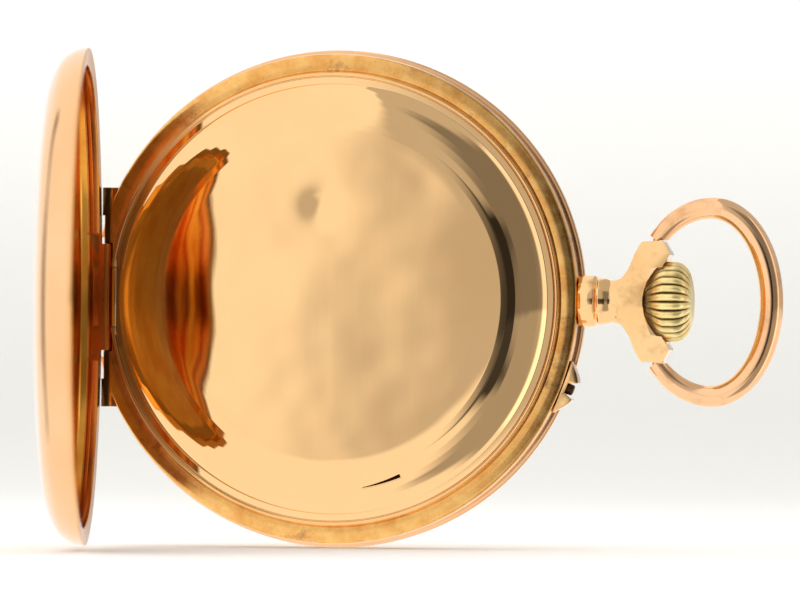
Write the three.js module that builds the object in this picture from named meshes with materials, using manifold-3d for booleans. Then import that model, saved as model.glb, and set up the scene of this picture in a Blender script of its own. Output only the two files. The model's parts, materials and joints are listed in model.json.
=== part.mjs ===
// Hunter pocket watch, savonnette layout, in millimetres.
// The case axis is Y: the front cover's flat centre is at y = 0 and the back of the watch faces -Y.
// The pendant and crown point along +X, the cover hinges lie along Z on the -X side, and Z is up while
// the watch stands on its edge. Twelve o'clock of the dial points to -Z and three o'clock to +X.
import * as THREE from "three";
import { mergeVertices } from "three/addons/utils/BufferGeometryUtils.js";
import Module from "manifold-3d";

const wasm = await Module();
wasm.setup();

// Driving dimensions
const caseR = 25; // widest radius, on the front cover's rim
const closedDepth = 13.5; // front flat to back flat with every cover shut
const seatR = 24.55; // outer edge of the case middle and of the back cover
const ridgeR = 22.7; // outside of the snap ridges
const boreR = 21.6; // hole that holds the movement
const frontSeatY = -5.25; // plane on which the front cover rests
const backSeatY = -8.9; // plane on which the back cover rests
const stemY = -7.2; // level of the stem, the pendant and the set pin
const hingeX = -23.05; // axis of both cover hinges
const knuckleR = 0.55;
const hingeHalf = 11; // half length of a cover hinge
const leafHalf = 5.35; // half length of a cover's own knuckle
const backOpenAngle = THREE.MathUtils.degToRad(84.5); // the back cover stands open by this much
const coverWall = 0.5;
const seatGap = 0.05;
const fine = 32; // segments round the case
const coarse = 12; // segments round small turned pieces

// Levels of the movement, from the dial to the back
const dialY = [-4.65, -4.25];
const plateY = [-6.45, -5.35];
const centreY = [-6.95, -6.75];
const fourthY = [-7.55, -7.35];
const escapeY = [-8.1, -7.9];
const thirdY = [-8.45, -8.25];
const palletCockY = [-8.6, -8.3];
const bridgeY = [-9.65, -8.75];
const balanceY = [-9.35, -8.85];
const hairspringY = [-9.75, -9.6];
const cockY = [-10.45, -9.95];
const shoulderY = [-8.65, -6.6]; // the arbors' shoulders, between the plate and the bridges
const ratchetY = [-10.15, -9.75];
const minuteWheelY = [-5.22, -5.02];
const hourWheelY = [-4.92, -4.72];

const teeth = {
  barrel: 60, centrePinion: 10, centre: 48, thirdPinion: 6, third: 45, fourthPinion: 6, fourth: 60,
  escapePinion: 6, escape: 15, cannon: 8, minute: 24, minutePinion: 6, hour: 24, windingPinion: 12,
  crownWheel: 30, ratchet: 40,
};

// Colours and finishes
const finish = (color, roughness, metalness) => new THREE.MeshStandardMaterial({ color, roughness, metalness });
const roseGold = finish(0xe9b48a, 0.18, 1);
const yellowGold = finish(0xe8bd7c, 0.15, 1);
const oldBrass = finish(0xb08d4a, 0.35, 1);
const gilt = finish(0xd8b468, 0.4, 1);
const nickel = finish(0xb9b6ae, 0.35, 1);
const steel = finish(0x8b8f94, 0.25, 1);
const blueSteel = finish(0x23305e, 0.25, 1);
const enamel = finish(0xf4f1e8, 0.25, 0);
const glass = finish(0xe8f0f2, 0.05, 0);

const watch = new THREE.Group();
const polar = (radius, angle) => [radius * Math.cos(angle), radius * Math.sin(angle)];
const rad = THREE.MathUtils.degToRad;

function add(name, geometry, material) {
  const mesh = new THREE.Mesh(geometry, material);
  mesh.name = name;
  watch.add(mesh);
  return mesh;
}

// Solids: geometry to manifold and back
function solid(geometry) {
  const bare = geometry.clone();
  bare.deleteAttribute("normal");
  bare.deleteAttribute("uv");
  const merged = mergeVertices(bare, 1e-4);
  const vertProperties = new Float32Array(merged.attributes.position.array);
  const corners = merged.index.array;
  const kept = [];
  for (let i = 0; i < corners.length; i += 3) {
    const [a, b, c] = corners.slice(i, i + 3);
    if (a !== b && b !== c && c !== a) kept.push(a, b, c);
  }
  const triVerts = new Uint32Array(kept);
  return new wasm.Manifold(new wasm.Mesh({ numProp: 3, vertProperties, triVerts }));
}

function geometryOf(manifold) {
  const mesh = manifold.getMesh();
  const geometry = new THREE.BufferGeometry();
  geometry.setAttribute("position", new THREE.BufferAttribute(new Float32Array(mesh.vertProperties), 3));
  geometry.setIndex(new THREE.BufferAttribute(new Uint32Array(mesh.triVerts), 1));
  geometry.computeVertexNormals();
  return geometry;
}

function carve(base, { joins = [], cuts = [] }) {
  let result = solid(base);
  for (const piece of joins) result = result.add(solid(piece));
  for (const piece of cuts) result = result.subtract(solid(piece));
  return geometryOf(result);
}

// A ring or disc turned round the case axis at (x, z); points are [radius, y]
function turned(points, { x = 0, z = 0, segments = coarse } = {}) {
  const profile = points.map(([radius, y]) => new THREE.Vector2(radius, y));
  const first = profile[0];
  const last = profile[profile.length - 1];
  if (first.x > 0 || last.x > 0) profile.push(first.clone());
  const area = profile.reduce((sum, p, i) => {
    const q = profile[(i + 1) % profile.length];
    return sum + p.x * q.y - q.x * p.y;
  }, 0);
  if (area < 0) profile.reverse();
  return new THREE.LatheGeometry(profile, segments).translate(x, 0, z);
}

function disc(radius, [low, high], place) {
  return turned([[0, low], [radius, low], [radius, high], [0, high]], place);
}

function ring(inner, outer, [low, high], place) {
  return turned([[inner, low], [outer, low], [outer, high], [inner, high]], place);
}

// A shape drawn in x and z becomes a flat plate between two levels
function plate(shape, [low, high], curveSegments = 8) {
  const settings = { depth: high - low, bevelEnabled: false, curveSegments };
  return new THREE.ExtrudeGeometry(shape, settings).rotateX(Math.PI / 2).translate(0, high, 0);
}

function box(sizeX, sizeY, sizeZ, x, y, z) {
  return new THREE.BoxGeometry(sizeX, sizeY, sizeZ).translate(x, y, z);
}

// A rod along Z, from z0 to z1
function rodZ(radius, x, y, z0, z1, segments = 12) {
  return new THREE.CylinderGeometry(radius, radius, z1 - z0, segments)
    .rotateX(Math.PI / 2)
    .translate(x, y, (z0 + z1) / 2);
}

// A piece turned round the stem's line; points are [radius, x]
function turnedOnStem(points, segments = 16) {
  return turned(points, { segments }).rotateZ(-Math.PI / 2).translate(0, stemY, 0);
}

function outline(points) {
  return new THREE.Shape(points.map(([x, z]) => new THREE.Vector2(x, z)));
}

function roundOutline(radius, count = fine) {
  return outline(Array.from({ length: count }, (_, i) => polar(radius, (2 * Math.PI * i) / count)));
}

function hole(shape, radius, x = 0, z = 0) {
  const path = new THREE.Path();
  path.absarc(x, z, radius, 0, 2 * Math.PI, true);
  shape.holes.push(path);
}


// Where each arbor of the movement stands, as [x, z]
const stepModule = (pitchSum, a, b) => (2 * pitchSum) / (a + b);
const barrelReach = 9.83; // barrel to centre
const thirdReach = 7.2; // centre to third
const fourthReach = 5.1; // third to fourth
const escapeReach = 5; // fourth to escape
const palletReach = 3.35; // escape to pallet arbor
const balanceReach = 4.4; // pallet arbor to balance
const balanceScrews = 10;
const secondsZ = 9.5; // the small seconds stand below the centre of the dial
const ratchetReach = 10.56; // ratchet wheel to crown wheel
const minuteReach = 3.2; // centre to minute wheel

const barrelAt = polar(barrelReach, rad(-52));
const fourthAt = [0, secondsZ];
const thirdRise = (thirdReach ** 2 - fourthReach ** 2 + secondsZ ** 2) / (2 * secondsZ);
const thirdAt = [Math.sqrt(thirdReach ** 2 - thirdRise ** 2), thirdRise];
const lineDown = rad(235); // the escape wheel, the pallets and the balance stand in one line
const stepFrom = (from, reach, angle) => [from[0] + reach * Math.cos(angle), from[1] + reach * Math.sin(angle)];
const escapeAt = stepFrom(fourthAt, escapeReach, rad(200));
const palletAt = stepFrom(escapeAt, palletReach, lineDown);
const balanceAt = stepFrom(palletAt, balanceReach, lineDown);
const crownWheelAt = [barrelAt[0] + Math.sqrt(ratchetReach ** 2 - barrelAt[1] ** 2), 0];
const minuteAt = polar(minuteReach, rad(215));

const bearing = (from, to) => Math.atan2(to[1] - from[1], to[0] - from[0]);

// Case
const flatY = -closedDepth;
const backRimY = backSeatY - seatGap;
const frontRimY = frontSeatY + seatGap;
const backHingeY = backSeatY + knuckleR; // each hinge barrel lies just under its seat
const frontHingeY = frontSeatY - knuckleR;
const dustHingeX = -22.15;
const dustHingeY = -9.35;
const dustHingeHalf = 3.8;
const dustKnuckleHalf = 2.95;
const seatSlope = 0.15; // the back seat stands a little higher inside than at its edge
const pinR = 0.25;
const pinHoleR = 0.32;
const knuckleGap = 0.1;
const pendantNotchR = 2.85; // the front cover clears the pendant's foot
const stemHoleR = 1.5;
const setPinAngle = rad(-20.5);

// A tool along +X that is turned about the case axis by an angle in the x-z plane
function radial(geometry, angle) {
  return geometry.rotateY(-angle);
}

function rodAlongStem(radius, x0, x1, segments = 16) {
  return turnedOnStem([[0, x0], [radius, x0], [radius, x1], [0, x1]], segments);
}

function caseMiddle() {
  const body = turned(
    [
      [boreR, -5.0], [22.3, -5.0], [22.3, -4.55], [ridgeR, -4.55], [ridgeR, frontSeatY + 0.02],
      [24.45, frontSeatY], [24.6, -6.2], [24.6, -8.0], [seatR - 0.05, backSeatY],
      [ridgeR, backSeatY - seatSlope], [ridgeR, -9.75], [22.35, -9.75], [22.35, -9.2], [boreR, -9.2],
    ],
    { segments: fine },
  );
  const earLength = hingeHalf - leafHalf - knuckleGap;
  const earMid = (hingeHalf + leafHalf + knuckleGap) / 2;
  const joins = [];
  const cuts = [box(1.6, 5, 16.4, hingeX - 1.05, -7.2, 0)];
  for (const side of [-1, 1]) {
    const z0 = side * earMid - earLength / 2;
    const z1 = side * earMid + earLength / 2;
    joins.push(rodZ(knuckleR, hingeX, backHingeY, z0, z1));
    joins.push(rodZ(knuckleR, hingeX, frontHingeY, z0, z1));
    joins.push(box(1.5, frontHingeY - backHingeY, earLength, hingeX + 0.7, (frontHingeY + backHingeY) / 2, side * earMid));
    const dustEar = [side * (dustKnuckleHalf + knuckleGap), side * dustHingeHalf].sort((a, b) => a - b);
    joins.push(rodZ(0.3, dustHingeX, dustHingeY, ...dustEar));
  }
  const leafSpace = 2 * (leafHalf + knuckleGap);
  cuts.push(box(2.3, 2.6, leafSpace, hingeX - 0.55, backHingeY - 0.65, 0));
  cuts.push(box(2.3, 2.6, leafSpace, hingeX - 0.55, frontHingeY + 0.65, 0));
  cuts.push(box(1.2, 1.4, 2 * (dustKnuckleHalf + knuckleGap), -22.1, -9.45, 0));
  cuts.push(box(1.2, 1.4, 12.4, -23.1, -10.15, 0));
  cuts.push(rodZ(pinHoleR, hingeX, backHingeY, -hingeHalf - 1, hingeHalf + 1));
  cuts.push(rodZ(pinHoleR, hingeX, frontHingeY, -hingeHalf - 1, hingeHalf + 1));
  cuts.push(rodZ(0.17, dustHingeX, dustHingeY, -7, 7, 8));
  cuts.push(rodAlongStem(stemHoleR, 20, 26));
  cuts.push(radial(rodAlongStem(0.65, 20, 26, 12), setPinAngle));
  return carve(body, { joins, cuts });
}

// A cover's own hinge knuckle, its leaf up to the rim and its bore
function coverHinge(hingeY, rimY) {
  const side = Math.sign(rimY - hingeY);
  const leaf = box(0.9, Math.abs(rimY - hingeY) + 0.3, 2 * leafHalf, hingeX, (rimY + hingeY) / 2 + side * 0.15, 0);
  const barrel = rodZ(0.45, hingeX, hingeY, -leafHalf, leafHalf);
  const bore = rodZ(pinHoleR, hingeX, hingeY, -leafHalf - 1, leafHalf + 1);
  const flat = box(2, 12, 12, hingeX - 1.85, (rimY + hingeY) / 2, 0);
  return { joins: [leaf, barrel], cuts: [bore, flat] };
}

function backCover() {
  const shell = turned(
    [
      [0, flatY], [12, flatY], [18, -13.2], [21.6, -12.55], [23.6, -11.4], [24.4, -10.1], [seatR, backRimY],
      [ridgeR + 0.1, backRimY - seatSlope], [ridgeR + 0.1, -9.75], [23.6, -10.2], [22.9, -11.2], [20.5, -12.25],
      [12, flatY + coverWall], [0, flatY + coverWall],
    ],
    { segments: fine },
  );
  const hinge = coverHinge(backHingeY, backRimY);
  const dustHingeRelief = box(1.6, 1.6, 12.8, -21.8, -9.6, 0);
  return carve(shell, { joins: hinge.joins, cuts: [...hinge.cuts, dustHingeRelief] });
}

function frontCover() {
  const shell = turned(
    [
      [0, 0], [12, 0], [18, -0.28], [22, -1.0], [24.1, -2.2], [24.9, -3.7], [caseR, -4.6], [caseR, frontRimY],
      [ridgeR + 0.1, frontRimY], [ridgeR + 0.1, -4.4], [24, -3.9], [23.3, -2.4], [20.8, -1.3],
      [12, -coverWall], [0, -coverWall],
    ],
    { segments: fine },
  );
  const hinge = coverHinge(frontHingeY, frontRimY);
  return carve(shell, { joins: hinge.joins, cuts: [...hinge.cuts, rodAlongStem(pendantNotchR, 22, 27)] });
}

function dustCover() {
  const shell = turned(
    [
      [0, -11.55], [17.5, -11.45], [19, -11.3], [19.35, -10.95], [20.4, -10.65], [21.3, -10.1], [21.7, -9.65],
      [22.25, -9.6], [22.25, -9.3], [21.4, -9.3], [20.9, -9.95], [20.1, -10.3], [19, -10.6], [17.4, -11.05],
      [0, -11.15],
    ],
    { segments: fine },
  );
  const leaf = box(0.5, 0.4, 6, dustHingeX + 0.25, -9.35, 0);
  const knuckle = rodZ(0.3, dustHingeX, dustHingeY, -dustKnuckleHalf, dustKnuckleHalf);
  const straightEdge = box(2, 3, 3.3, -22.6, -9.6, 4.65);
  const otherEdge = box(2, 3, 3.3, -22.6, -9.6, -4.65);
  const bore = rodZ(0.17, dustHingeX, dustHingeY, -7, 7, 8);
  return carve(shell, { joins: [leaf, knuckle], cuts: [straightEdge, otherEdge, bore] });
}

function bezel() {
  return turned(
    [
      [20.5, -4.2], [21.4, -4.2], [21.65, -4.95], [22.25, -4.95], [22.25, -3.5], [21.5, -2.6], [21.05, -2.6],
      [21.05, -3.6], [20.5, -3.6],
    ],
    { segments: fine },
  );
}

function crystal() {
  return turned(
    [[0, -1.6], [9, -1.75], [16, -2.2], [20.9, -2.95], [20.9, -3.5], [16, -2.9], [9, -2.35], [0, -2.2]],
    { segments: fine },
  );
}

function hingePin(x, y, half, radius = pinR) {
  return rodZ(radius, x, y, -half, half, 8);
}

add("case_middle", caseMiddle(), yellowGold);
add("back_hinge_pin", hingePin(hingeX, backHingeY, hingeHalf), steel);
add("front_hinge_pin", hingePin(hingeX, frontHingeY, hingeHalf), steel);
add("dust_hinge_pin", hingePin(dustHingeX, dustHingeY, dustHingeHalf, 0.12), steel);
add("front_cover", frontCover(), roseGold);
add("dust_cover", dustCover(), yellowGold);
add("bezel", bezel(), yellowGold);
add("crystal", crystal(), glass);

// The back cover swings about its hinge, so it is drawn shut and placed open
const openedBack = backCover().translate(-hingeX, -backHingeY, 0);
const backCoverMesh = add("back_cover", openedBack, roseGold);
backCoverMesh.position.set(hingeX, backHingeY, 0);
backCoverMesh.rotation.z = -backOpenAngle;

// Pendant, crown and bow
const crownR = 4;
const crownX = [30.75, 36.4];
const gripX = [32.6, 35.2];
const earZ = 6.1; // the bow bears on the outsides of the pendant's two ears
const headHalf = 2.8; // half thickness of the pendant's head in the middle
const headTaper = 0.38; // how much of that is lost at the ears
const bowPivotX = 32.3;
const bowR = 1.15;
const bowHalfWidth = 9.4; // of the bow's centre line, as are the three below
const bowMiddle = 5.55; // from the pivots to the bow's widest point
const bowInnerReach = 7.3; // half axis of the ellipse on the pendant's side
const bowOuterReach = 6.03;

function pendant() {
  const neck = turnedOnStem([
    [0.9, 22.9], [1.45, 22.9], [1.45, 24.7], [2.5, 24.7], [2.62, 25.5], [2.5, 26.3], [2.25, 26.4], [2.35, 26.6],
    [2.15, 27.4], [2.1, 27.9], [2.35, 28.3], [2.35, 29.3], [2.6, 29.7], [2.6, 30.2], [0.9, 30.2],
  ]);
  const half = [
    [29.0, 2.2], [29.7, 3.9], [30.3, 5.3], [31.1, earZ], [33.2, earZ], [33.9, 5.3], [33.9, 4.5], [33.2, 3.6],
  ];
  const head = outline([...half, ...half.map(([x, z]) => [x, -z]).reverse()]);
  const bar = plate(head, [stemY - headHalf, stemY + headHalf]);
  const corners = bar.getAttribute("position");
  for (let i = 0; i < corners.count; i++) {
    const outward = corners.getZ(i) / earZ;
    const thickness = 1 - headTaper * outward * outward;
    corners.setY(i, stemY + (corners.getY(i) - stemY) * thickness);
  }
  const hollow = turnedOnStem([
    [0, 30.2], [1.4, 30.4], [2.4, 30.9], [3.1, 31.35], [3.6, 31.7], [4.15, 32.0], [4.25, 33], [4.25, 37], [0, 37],
  ], 24);
  const bore = rodAlongStem(stemHoleR, 24.9, 31);
  const pinHoles = rodZ(0.5, bowPivotX, stemY, -8, 8);
  return carve(neck, { joins: [bar], cuts: [hollow, bore, pinHoles] });
}

// The bow's centre line: half ellipses that meet at its widest point, from one eye round to the other
function bowLine() {
  const start = Math.asin((earZ + 0.1) / bowHalfWidth);
  const points = [];
  for (let i = 0; i <= 24; i++) {
    const turn = Math.PI + start + (i / 12) * (Math.PI - start);
    const reach = Math.cos(turn) < 0 ? bowInnerReach : bowOuterReach;
    points.push(new THREE.Vector3(bowMiddle + reach * Math.cos(turn), 0, -bowHalfWidth * Math.sin(turn)));
  }
  return new THREE.CatmullRomCurve3(points);
}

function bow() {
  const section = new THREE.Shape();
  section.absarc(0, 0, bowR, 0, 2 * Math.PI, false);
  const settings = { steps: 22, extrudePath: bowLine(), curveSegments: 4 };
  const wire = new THREE.ExtrudeGeometry(section, settings).translate(bowPivotX, stemY, 0);
  const trim = box(4, 4, 2 * earZ + 0.1, bowPivotX, stemY, 0);
  return carve(wire, { cuts: [trim, rodZ(0.5, bowPivotX, stemY, -8.1, 8.1)] });
}

function bowScrew(side) {
  const ends = [side * (earZ - 1.2), side * (earZ + 1.1)].sort((a, b) => a - b);
  return rodZ(0.4, bowPivotX, stemY, ...ends, 10);
}

function toothedShape(count, tipR, rootR, phase = 0) {
  const points = [];
  const step = Math.PI / count;
  for (let i = 0; i < count; i++) {
    const middle = phase + 2 * i * step;
    points.push(polar(tipR, middle), polar(rootR, middle + step));
  }
  return outline(points);
}

// A toothed bar along the stem's line
function toothedOnStem(count, tipR, rootR, [x0, x1], boreR = 0) {
  const shape = toothedShape(count, tipR, rootR);
  if (boreR > 0) hole(shape, boreR);
  return plate(shape, [x0, x1]).rotateZ(-Math.PI / 2).translate(0, stemY, 0);
}

function crown() {
  const grip = toothedOnStem(26, crownR, crownR - 0.28, gripX);
  const cap = turnedOnStem([
    [0, crownX[0] + 0.2], [1.4, crownX[0] + 0.35], [2.4, crownX[0] + 0.8], [3.1, crownX[0] + 1.25],
    [3.6, gripX[0]], [3.7, gripX[0] + 0.6], [3.7, gripX[1] - 0.05], [3.3, crownX[1] - 0.5],
    [2, crownX[1] - 0.1], [0, crownX[1]],
  ]);
  return carve(grip, { joins: [cap], cuts: [rodAlongStem(0.62, crownX[0] - 1, crownX[1] - 2, 12)] });
}

function crownSleeve() {
  return turnedOnStem([[0.7, 25.6], [1.3, 25.6], [1.3, 27], [1.15, 27.4], [1.3, 27.8], [1.3, 29.6], [0.7, 29.6]], 12);
}

function windingStem() {
  return rodAlongStem(0.55, 12.6, crownX[1] - 2.1, 10);
}

function pinGuard() {
  const shape = outline([
    [24.68, -2.7], [25.1, -2.1], [25.75, -1.3], [25.95, -0.85], [25.1, -0.62], [25.1, 0.62], [25.95, 0.85],
    [25.75, 1.3], [25.1, 2.1], [24.68, 2.7],
  ]);
  const guard = plate(shape, [stemY - 1.2, stemY + 1.2]);
  const bore = rodAlongStem(0.65, 24, 27, 12);
  return radial(carve(guard, { cuts: [bore] }), setPinAngle);
}

function setPin() {
  return radial(rodAlongStem(0.55, 20.9, 25.7, 12), setPinAngle);
}

// A flat spring bent round the inside of the case
function caseSpring(fromAngle, toAngle) {
  const shape = new THREE.Shape();
  shape.absarc(0, 0, boreR - 0.25, fromAngle, toAngle, false);
  shape.absarc(0, 0, boreR - 0.65, toAngle, fromAngle, true);
  return plate(shape, [-8.4, -6.7], 10);
}

add("pendant", pendant(), roseGold);
add("bow", bow(), roseGold);
add("bow_screw_top", bowScrew(1), roseGold);
add("bow_screw_bottom", bowScrew(-1), roseGold);
add("crown", crown(), oldBrass);
add("crown_sleeve", crownSleeve(), steel);
add("winding_stem", windingStem(), steel);
add("pin_guard", pinGuard(), roseGold);
add("set_pin", setPin(), steel);
add("lock_spring", caseSpring(rad(8), rad(70)), blueSteel);
add("lift_spring", caseSpring(rad(110), rad(168)), blueSteel);

// Wheels of the movement
// Wheel and pinion are phased so that a tooth of the driver stands in a gap of the follower
function wheelShape({ count, pitchR, phase, toothModule, spokes = 0, hubR = 0, boreRadius }) {
  const rootR = pitchR - 1.1 * toothModule;
  const shape = toothedShape(count, pitchR + 0.8 * toothModule, rootR, phase);
  hole(shape, boreRadius);
  const middleR = (rootR - 0.45 + hubR) / 2;
  const halfDepth = (rootR - 0.45 - hubR) / 2;
  for (let i = 0; i < spokes; i++) {
    const window = new THREE.Path();
    const at = (2 * Math.PI * (i + 0.5)) / spokes;
    const corners = [[-1, -0.3], [1, -0.62], [1, 0.62], [-1, 0.3]];
    window.setFromPoints(corners.map(([out, swing]) => new THREE.Vector2(...polar(middleR + out * halfDepth, at + swing))));
    shape.holes.push(window);
  }
  return shape;
}

function arbor(points, [x, z]) {
  return turned(points, { x, z, segments: 10 });
}

function pinion(count, pitchR, phase, toothModule, levels, [x, z]) {
  const shape = toothedShape(count, pitchR + 0.8 * toothModule, pitchR - 1.1 * toothModule, phase);
  return plate(shape, levels).translate(x, 0, z);
}

// A spoked wheel, its pinion and its arbor with a pivot at each end, as one piece
function wheelAndPinion({ wheel, pinionPart, at, arborR, pivotR, low, front }) {
  const shape = wheelShape({ ...wheel, hubR: arborR + 0.7, boreRadius: arborR - 0.1 });
  const spokedWheel = plate(shape, wheel.levels, 3).translate(at[0], 0, at[1]);
  const shaft = arbor([
    [0, low], [pivotR, low], [pivotR, shoulderY[0]], [arborR, shoulderY[0]], [arborR, shoulderY[1]],
    [pivotR, shoulderY[1]], [pivotR, front], [0, front],
  ], at);
  const leaves = pinion(pinionPart.count, pinionPart.pitchR, pinionPart.phase, pinionPart.module,
    pinionPart.levels, at);
  return carve(shaft, { joins: [spokedWheel, leaves] });
}

// Two wheels in mesh share a tooth module; each takes its part of the distance between their arbors
function mesh(driverCount, followerCount, distance) {
  const toothModule = stepModule(distance, driverCount, followerCount);
  return { module: toothModule, driverR: (toothModule * driverCount) / 2, followerR: (toothModule * followerCount) / 2 };
}

// A driver's tooth points at its follower, and a gap of the follower points back
const gapFacing = (from, to, count) => bearing(from, to) + Math.PI / count;

const barrelMesh = mesh(teeth.barrel, teeth.centrePinion, barrelReach);
const centreMesh = mesh(teeth.centre, teeth.thirdPinion, thirdReach);
const thirdMesh = mesh(teeth.third, teeth.fourthPinion, fourthReach);
const fourthMesh = mesh(teeth.fourth, teeth.escapePinion, escapeReach);
const cannonMesh = mesh(teeth.cannon, teeth.minute, minuteReach);
const hourMesh = mesh(teeth.minutePinion, teeth.hour, minuteReach);
const ratchetMesh = mesh(teeth.crownWheel, teeth.ratchet, ratchetReach);
const centreAt = [0, 0];
const pivotFront = plateY[1] - 0.2;

function centreWheel() {
  return wheelAndPinion({
    wheel: {
      count: teeth.centre, pitchR: centreMesh.driverR, phase: bearing(centreAt, thirdAt), toothModule: centreMesh.module,
      spokes: 4, levels: centreY,
    },
    pinionPart: {
      count: teeth.centrePinion, pitchR: barrelMesh.followerR, module: barrelMesh.module,
      phase: gapFacing(centreAt, barrelAt, teeth.centrePinion), levels: [-8.3, -7.1],
    },
    at: centreAt, arborR: 0.6, pivotR: 0.25, low: -9.5, front: -3.15,
  });
}

function thirdWheel() {
  return wheelAndPinion({
    wheel: {
      count: teeth.third, pitchR: thirdMesh.driverR, phase: bearing(thirdAt, fourthAt), toothModule: thirdMesh.module,
      spokes: 4, levels: thirdY,
    },
    pinionPart: {
      count: teeth.thirdPinion, pitchR: centreMesh.followerR, module: centreMesh.module,
      phase: gapFacing(thirdAt, centreAt, teeth.thirdPinion), levels: [-7.2, -6.6],
    },
    at: thirdAt, arborR: 0.4, pivotR: 0.2, low: -9.5, front: pivotFront,
  });
}

function fourthWheel() {
  return wheelAndPinion({
    wheel: {
      count: teeth.fourth, pitchR: fourthMesh.driverR, phase: bearing(fourthAt, escapeAt), toothModule: fourthMesh.module,
      spokes: 4, levels: fourthY,
    },
    pinionPart: {
      count: teeth.fourthPinion, pitchR: thirdMesh.followerR, module: thirdMesh.module,
      phase: gapFacing(fourthAt, thirdAt, teeth.fourthPinion), levels: [-8.55, -8.0],
    },
    at: fourthAt, arborR: 0.35, pivotR: 0.2, low: -9.5, front: -3.98,
  });
}

function escapeWheel() {
  const tipR = 2.9;
  const toothLean = 0.22; // the club teeth lean into the turn
  const points = [];
  for (let i = 0; i < teeth.escape; i++) {
    const middle = (2 * Math.PI * i) / teeth.escape;
    points.push(polar(2.25, middle - toothLean), polar(tipR, middle - 0.02), polar(tipR - 0.05, middle + 0.07));
  }
  const rim = outline(points);
  hole(rim, 1.8);
  const wheel = plate(rim, escapeY, 4).translate(escapeAt[0], 0, escapeAt[1]);
  const cross = [0, Math.PI / 2].map((angle) =>
    box(3.8, escapeY[1] - escapeY[0], 0.4, 0, (escapeY[0] + escapeY[1]) / 2, 0)
      .rotateY(angle)
      .translate(escapeAt[0], 0, escapeAt[1]));
  const shaft = arbor([
    [0, -9.4], [0.12, -9.4], [0.12, -8.7], [0.28, -8.7], [0.28, -6.7], [0.12, -6.7], [0.12, pivotFront],
    [0, pivotFront],
  ], escapeAt);
  const leaves = pinion(teeth.escapePinion, fourthMesh.followerR, gapFacing(escapeAt, fourthAt, teeth.escapePinion),
    fourthMesh.module, [-7.7, -7.2], escapeAt);
  return carve(shaft, { joins: [wheel, ...cross, leaves] });
}

function barrel() {
  const drumR = barrelMesh.driverR - 1.4 * barrelMesh.module;
  const drum = turned(
    [
      [1.35, -7.1], [drumR, -7.1], [drumR, -8.65], [drumR - 0.3, -8.65], [drumR - 0.3, -7.35], [1.35, -7.35],
    ],
    { x: barrelAt[0], z: barrelAt[1], segments: 18 },
  );
  const rim = toothedShape(teeth.barrel, barrelMesh.driverR + 0.8 * barrelMesh.module, drumR - 0.05,
    bearing(barrelAt, centreAt));
  hole(rim, drumR - 0.25);
  return carve(drum, { joins: [plate(rim, [-7.65, -7.15]).translate(barrelAt[0], 0, barrelAt[1])] });
}

function spiral(inner, outer, turns, wall, levels, stepsPerTurn) {
  const points = [];
  const count = turns * stepsPerTurn;
  for (let i = 0; i <= count; i++) points.push([inner + ((outer - inner) * i) / count, (2 * Math.PI * i) / stepsPerTurn]);
  const away = points.map(([r, a]) => polar(r + wall, a));
  const back = points.map(([r, a]) => polar(r, a)).reverse();
  return plate(outline([...away, ...back]), levels);
}

function mainspring() {
  return spiral(1.9, 7.2, 4, 0.45, [-8.6, -7.45], 10).translate(barrelAt[0], 0, barrelAt[1]);
}

function hairspring() {
  return spiral(0.8, 3.2, 4, 0.12, hairspringY, 10).translate(balanceAt[0], 0, balanceAt[1]);
}

function barrelArbor() {
  return arbor([
    [0, -10.45], [1.4, -10.45], [1.4, -10.2], [0.7, -10.2], [0.7, -8.7], [1.15, -8.7], [1.15, -6.9], [0.7, -6.75],
    [0.7, pivotFront], [0, pivotFront],
  ], barrelAt);
}

function ratchetWheel() {
  const shape = wheelShape({
    count: teeth.ratchet, pitchR: ratchetMesh.followerR, phase: gapFacing(barrelAt, crownWheelAt, teeth.ratchet),
    toothModule: ratchetMesh.module, boreRadius: 0.75,
  });
  return plate(shape, ratchetY, 6).translate(barrelAt[0], 0, barrelAt[1]);
}

function crownWheel() {
  const shape = wheelShape({
    count: teeth.crownWheel, pitchR: ratchetMesh.driverR, phase: bearing(crownWheelAt, barrelAt),
    toothModule: ratchetMesh.module, boreRadius: 0.85,
  });
  return plate(shape, ratchetY, 6).translate(crownWheelAt[0], 0, crownWheelAt[1]);
}

function windingPinion() {
  return toothedOnStem(teeth.windingPinion, 2.35, 1.9, [16.9, 18.3], 0.6);
}

function slidingPinion() {
  return toothedOnStem(teeth.windingPinion, 1.5, 1.2, [14.2, 16.7], 0.6);
}

function minuteWheel() {
  const wheelOutline = wheelShape({
    count: teeth.minute, pitchR: cannonMesh.followerR, phase: gapFacing(minuteAt, centreAt, teeth.minute),
    toothModule: cannonMesh.module, boreRadius: 0.3,
  });
  const wheel = plate(wheelOutline, minuteWheelY, 3);
  const shape = toothedShape(teeth.minutePinion, hourMesh.driverR + 0.1, hourMesh.driverR - 0.18,
    bearing(minuteAt, centreAt));
  hole(shape, 0.28);
  const leaves = plate(shape, [minuteWheelY[1] - 0.05, -4.72], 3);
  return carve(wheel, { joins: [leaves] }).translate(minuteAt[0], 0, minuteAt[1]);
}

function cannonPinion() {
  const tube = turned([[0.3, -5.3], [0.5, -5.3], [0.5, -3.2], [0.3, -3.2]], { segments: 12 });
  const shape = toothedShape(teeth.cannon, cannonMesh.driverR + 0.12, cannonMesh.driverR - 0.2,
    bearing(centreAt, minuteAt));
  hole(shape, 0.4);
  return carve(tube, { joins: [plate(shape, [-5.28, -5.0], 3)] });
}

function hourWheel() {
  const shape = wheelShape({
    count: teeth.hour, pitchR: hourMesh.followerR, phase: gapFacing(centreAt, minuteAt, teeth.hour),
    toothModule: hourMesh.module, boreRadius: 0.6,
  });
  const tube = turned([[0.58, -4.9], [0.85, -4.9], [0.85, -3.72], [0.58, -3.72]], { segments: 12 });
  return carve(plate(shape, hourWheelY, 4), { joins: [tube] });
}

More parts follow.
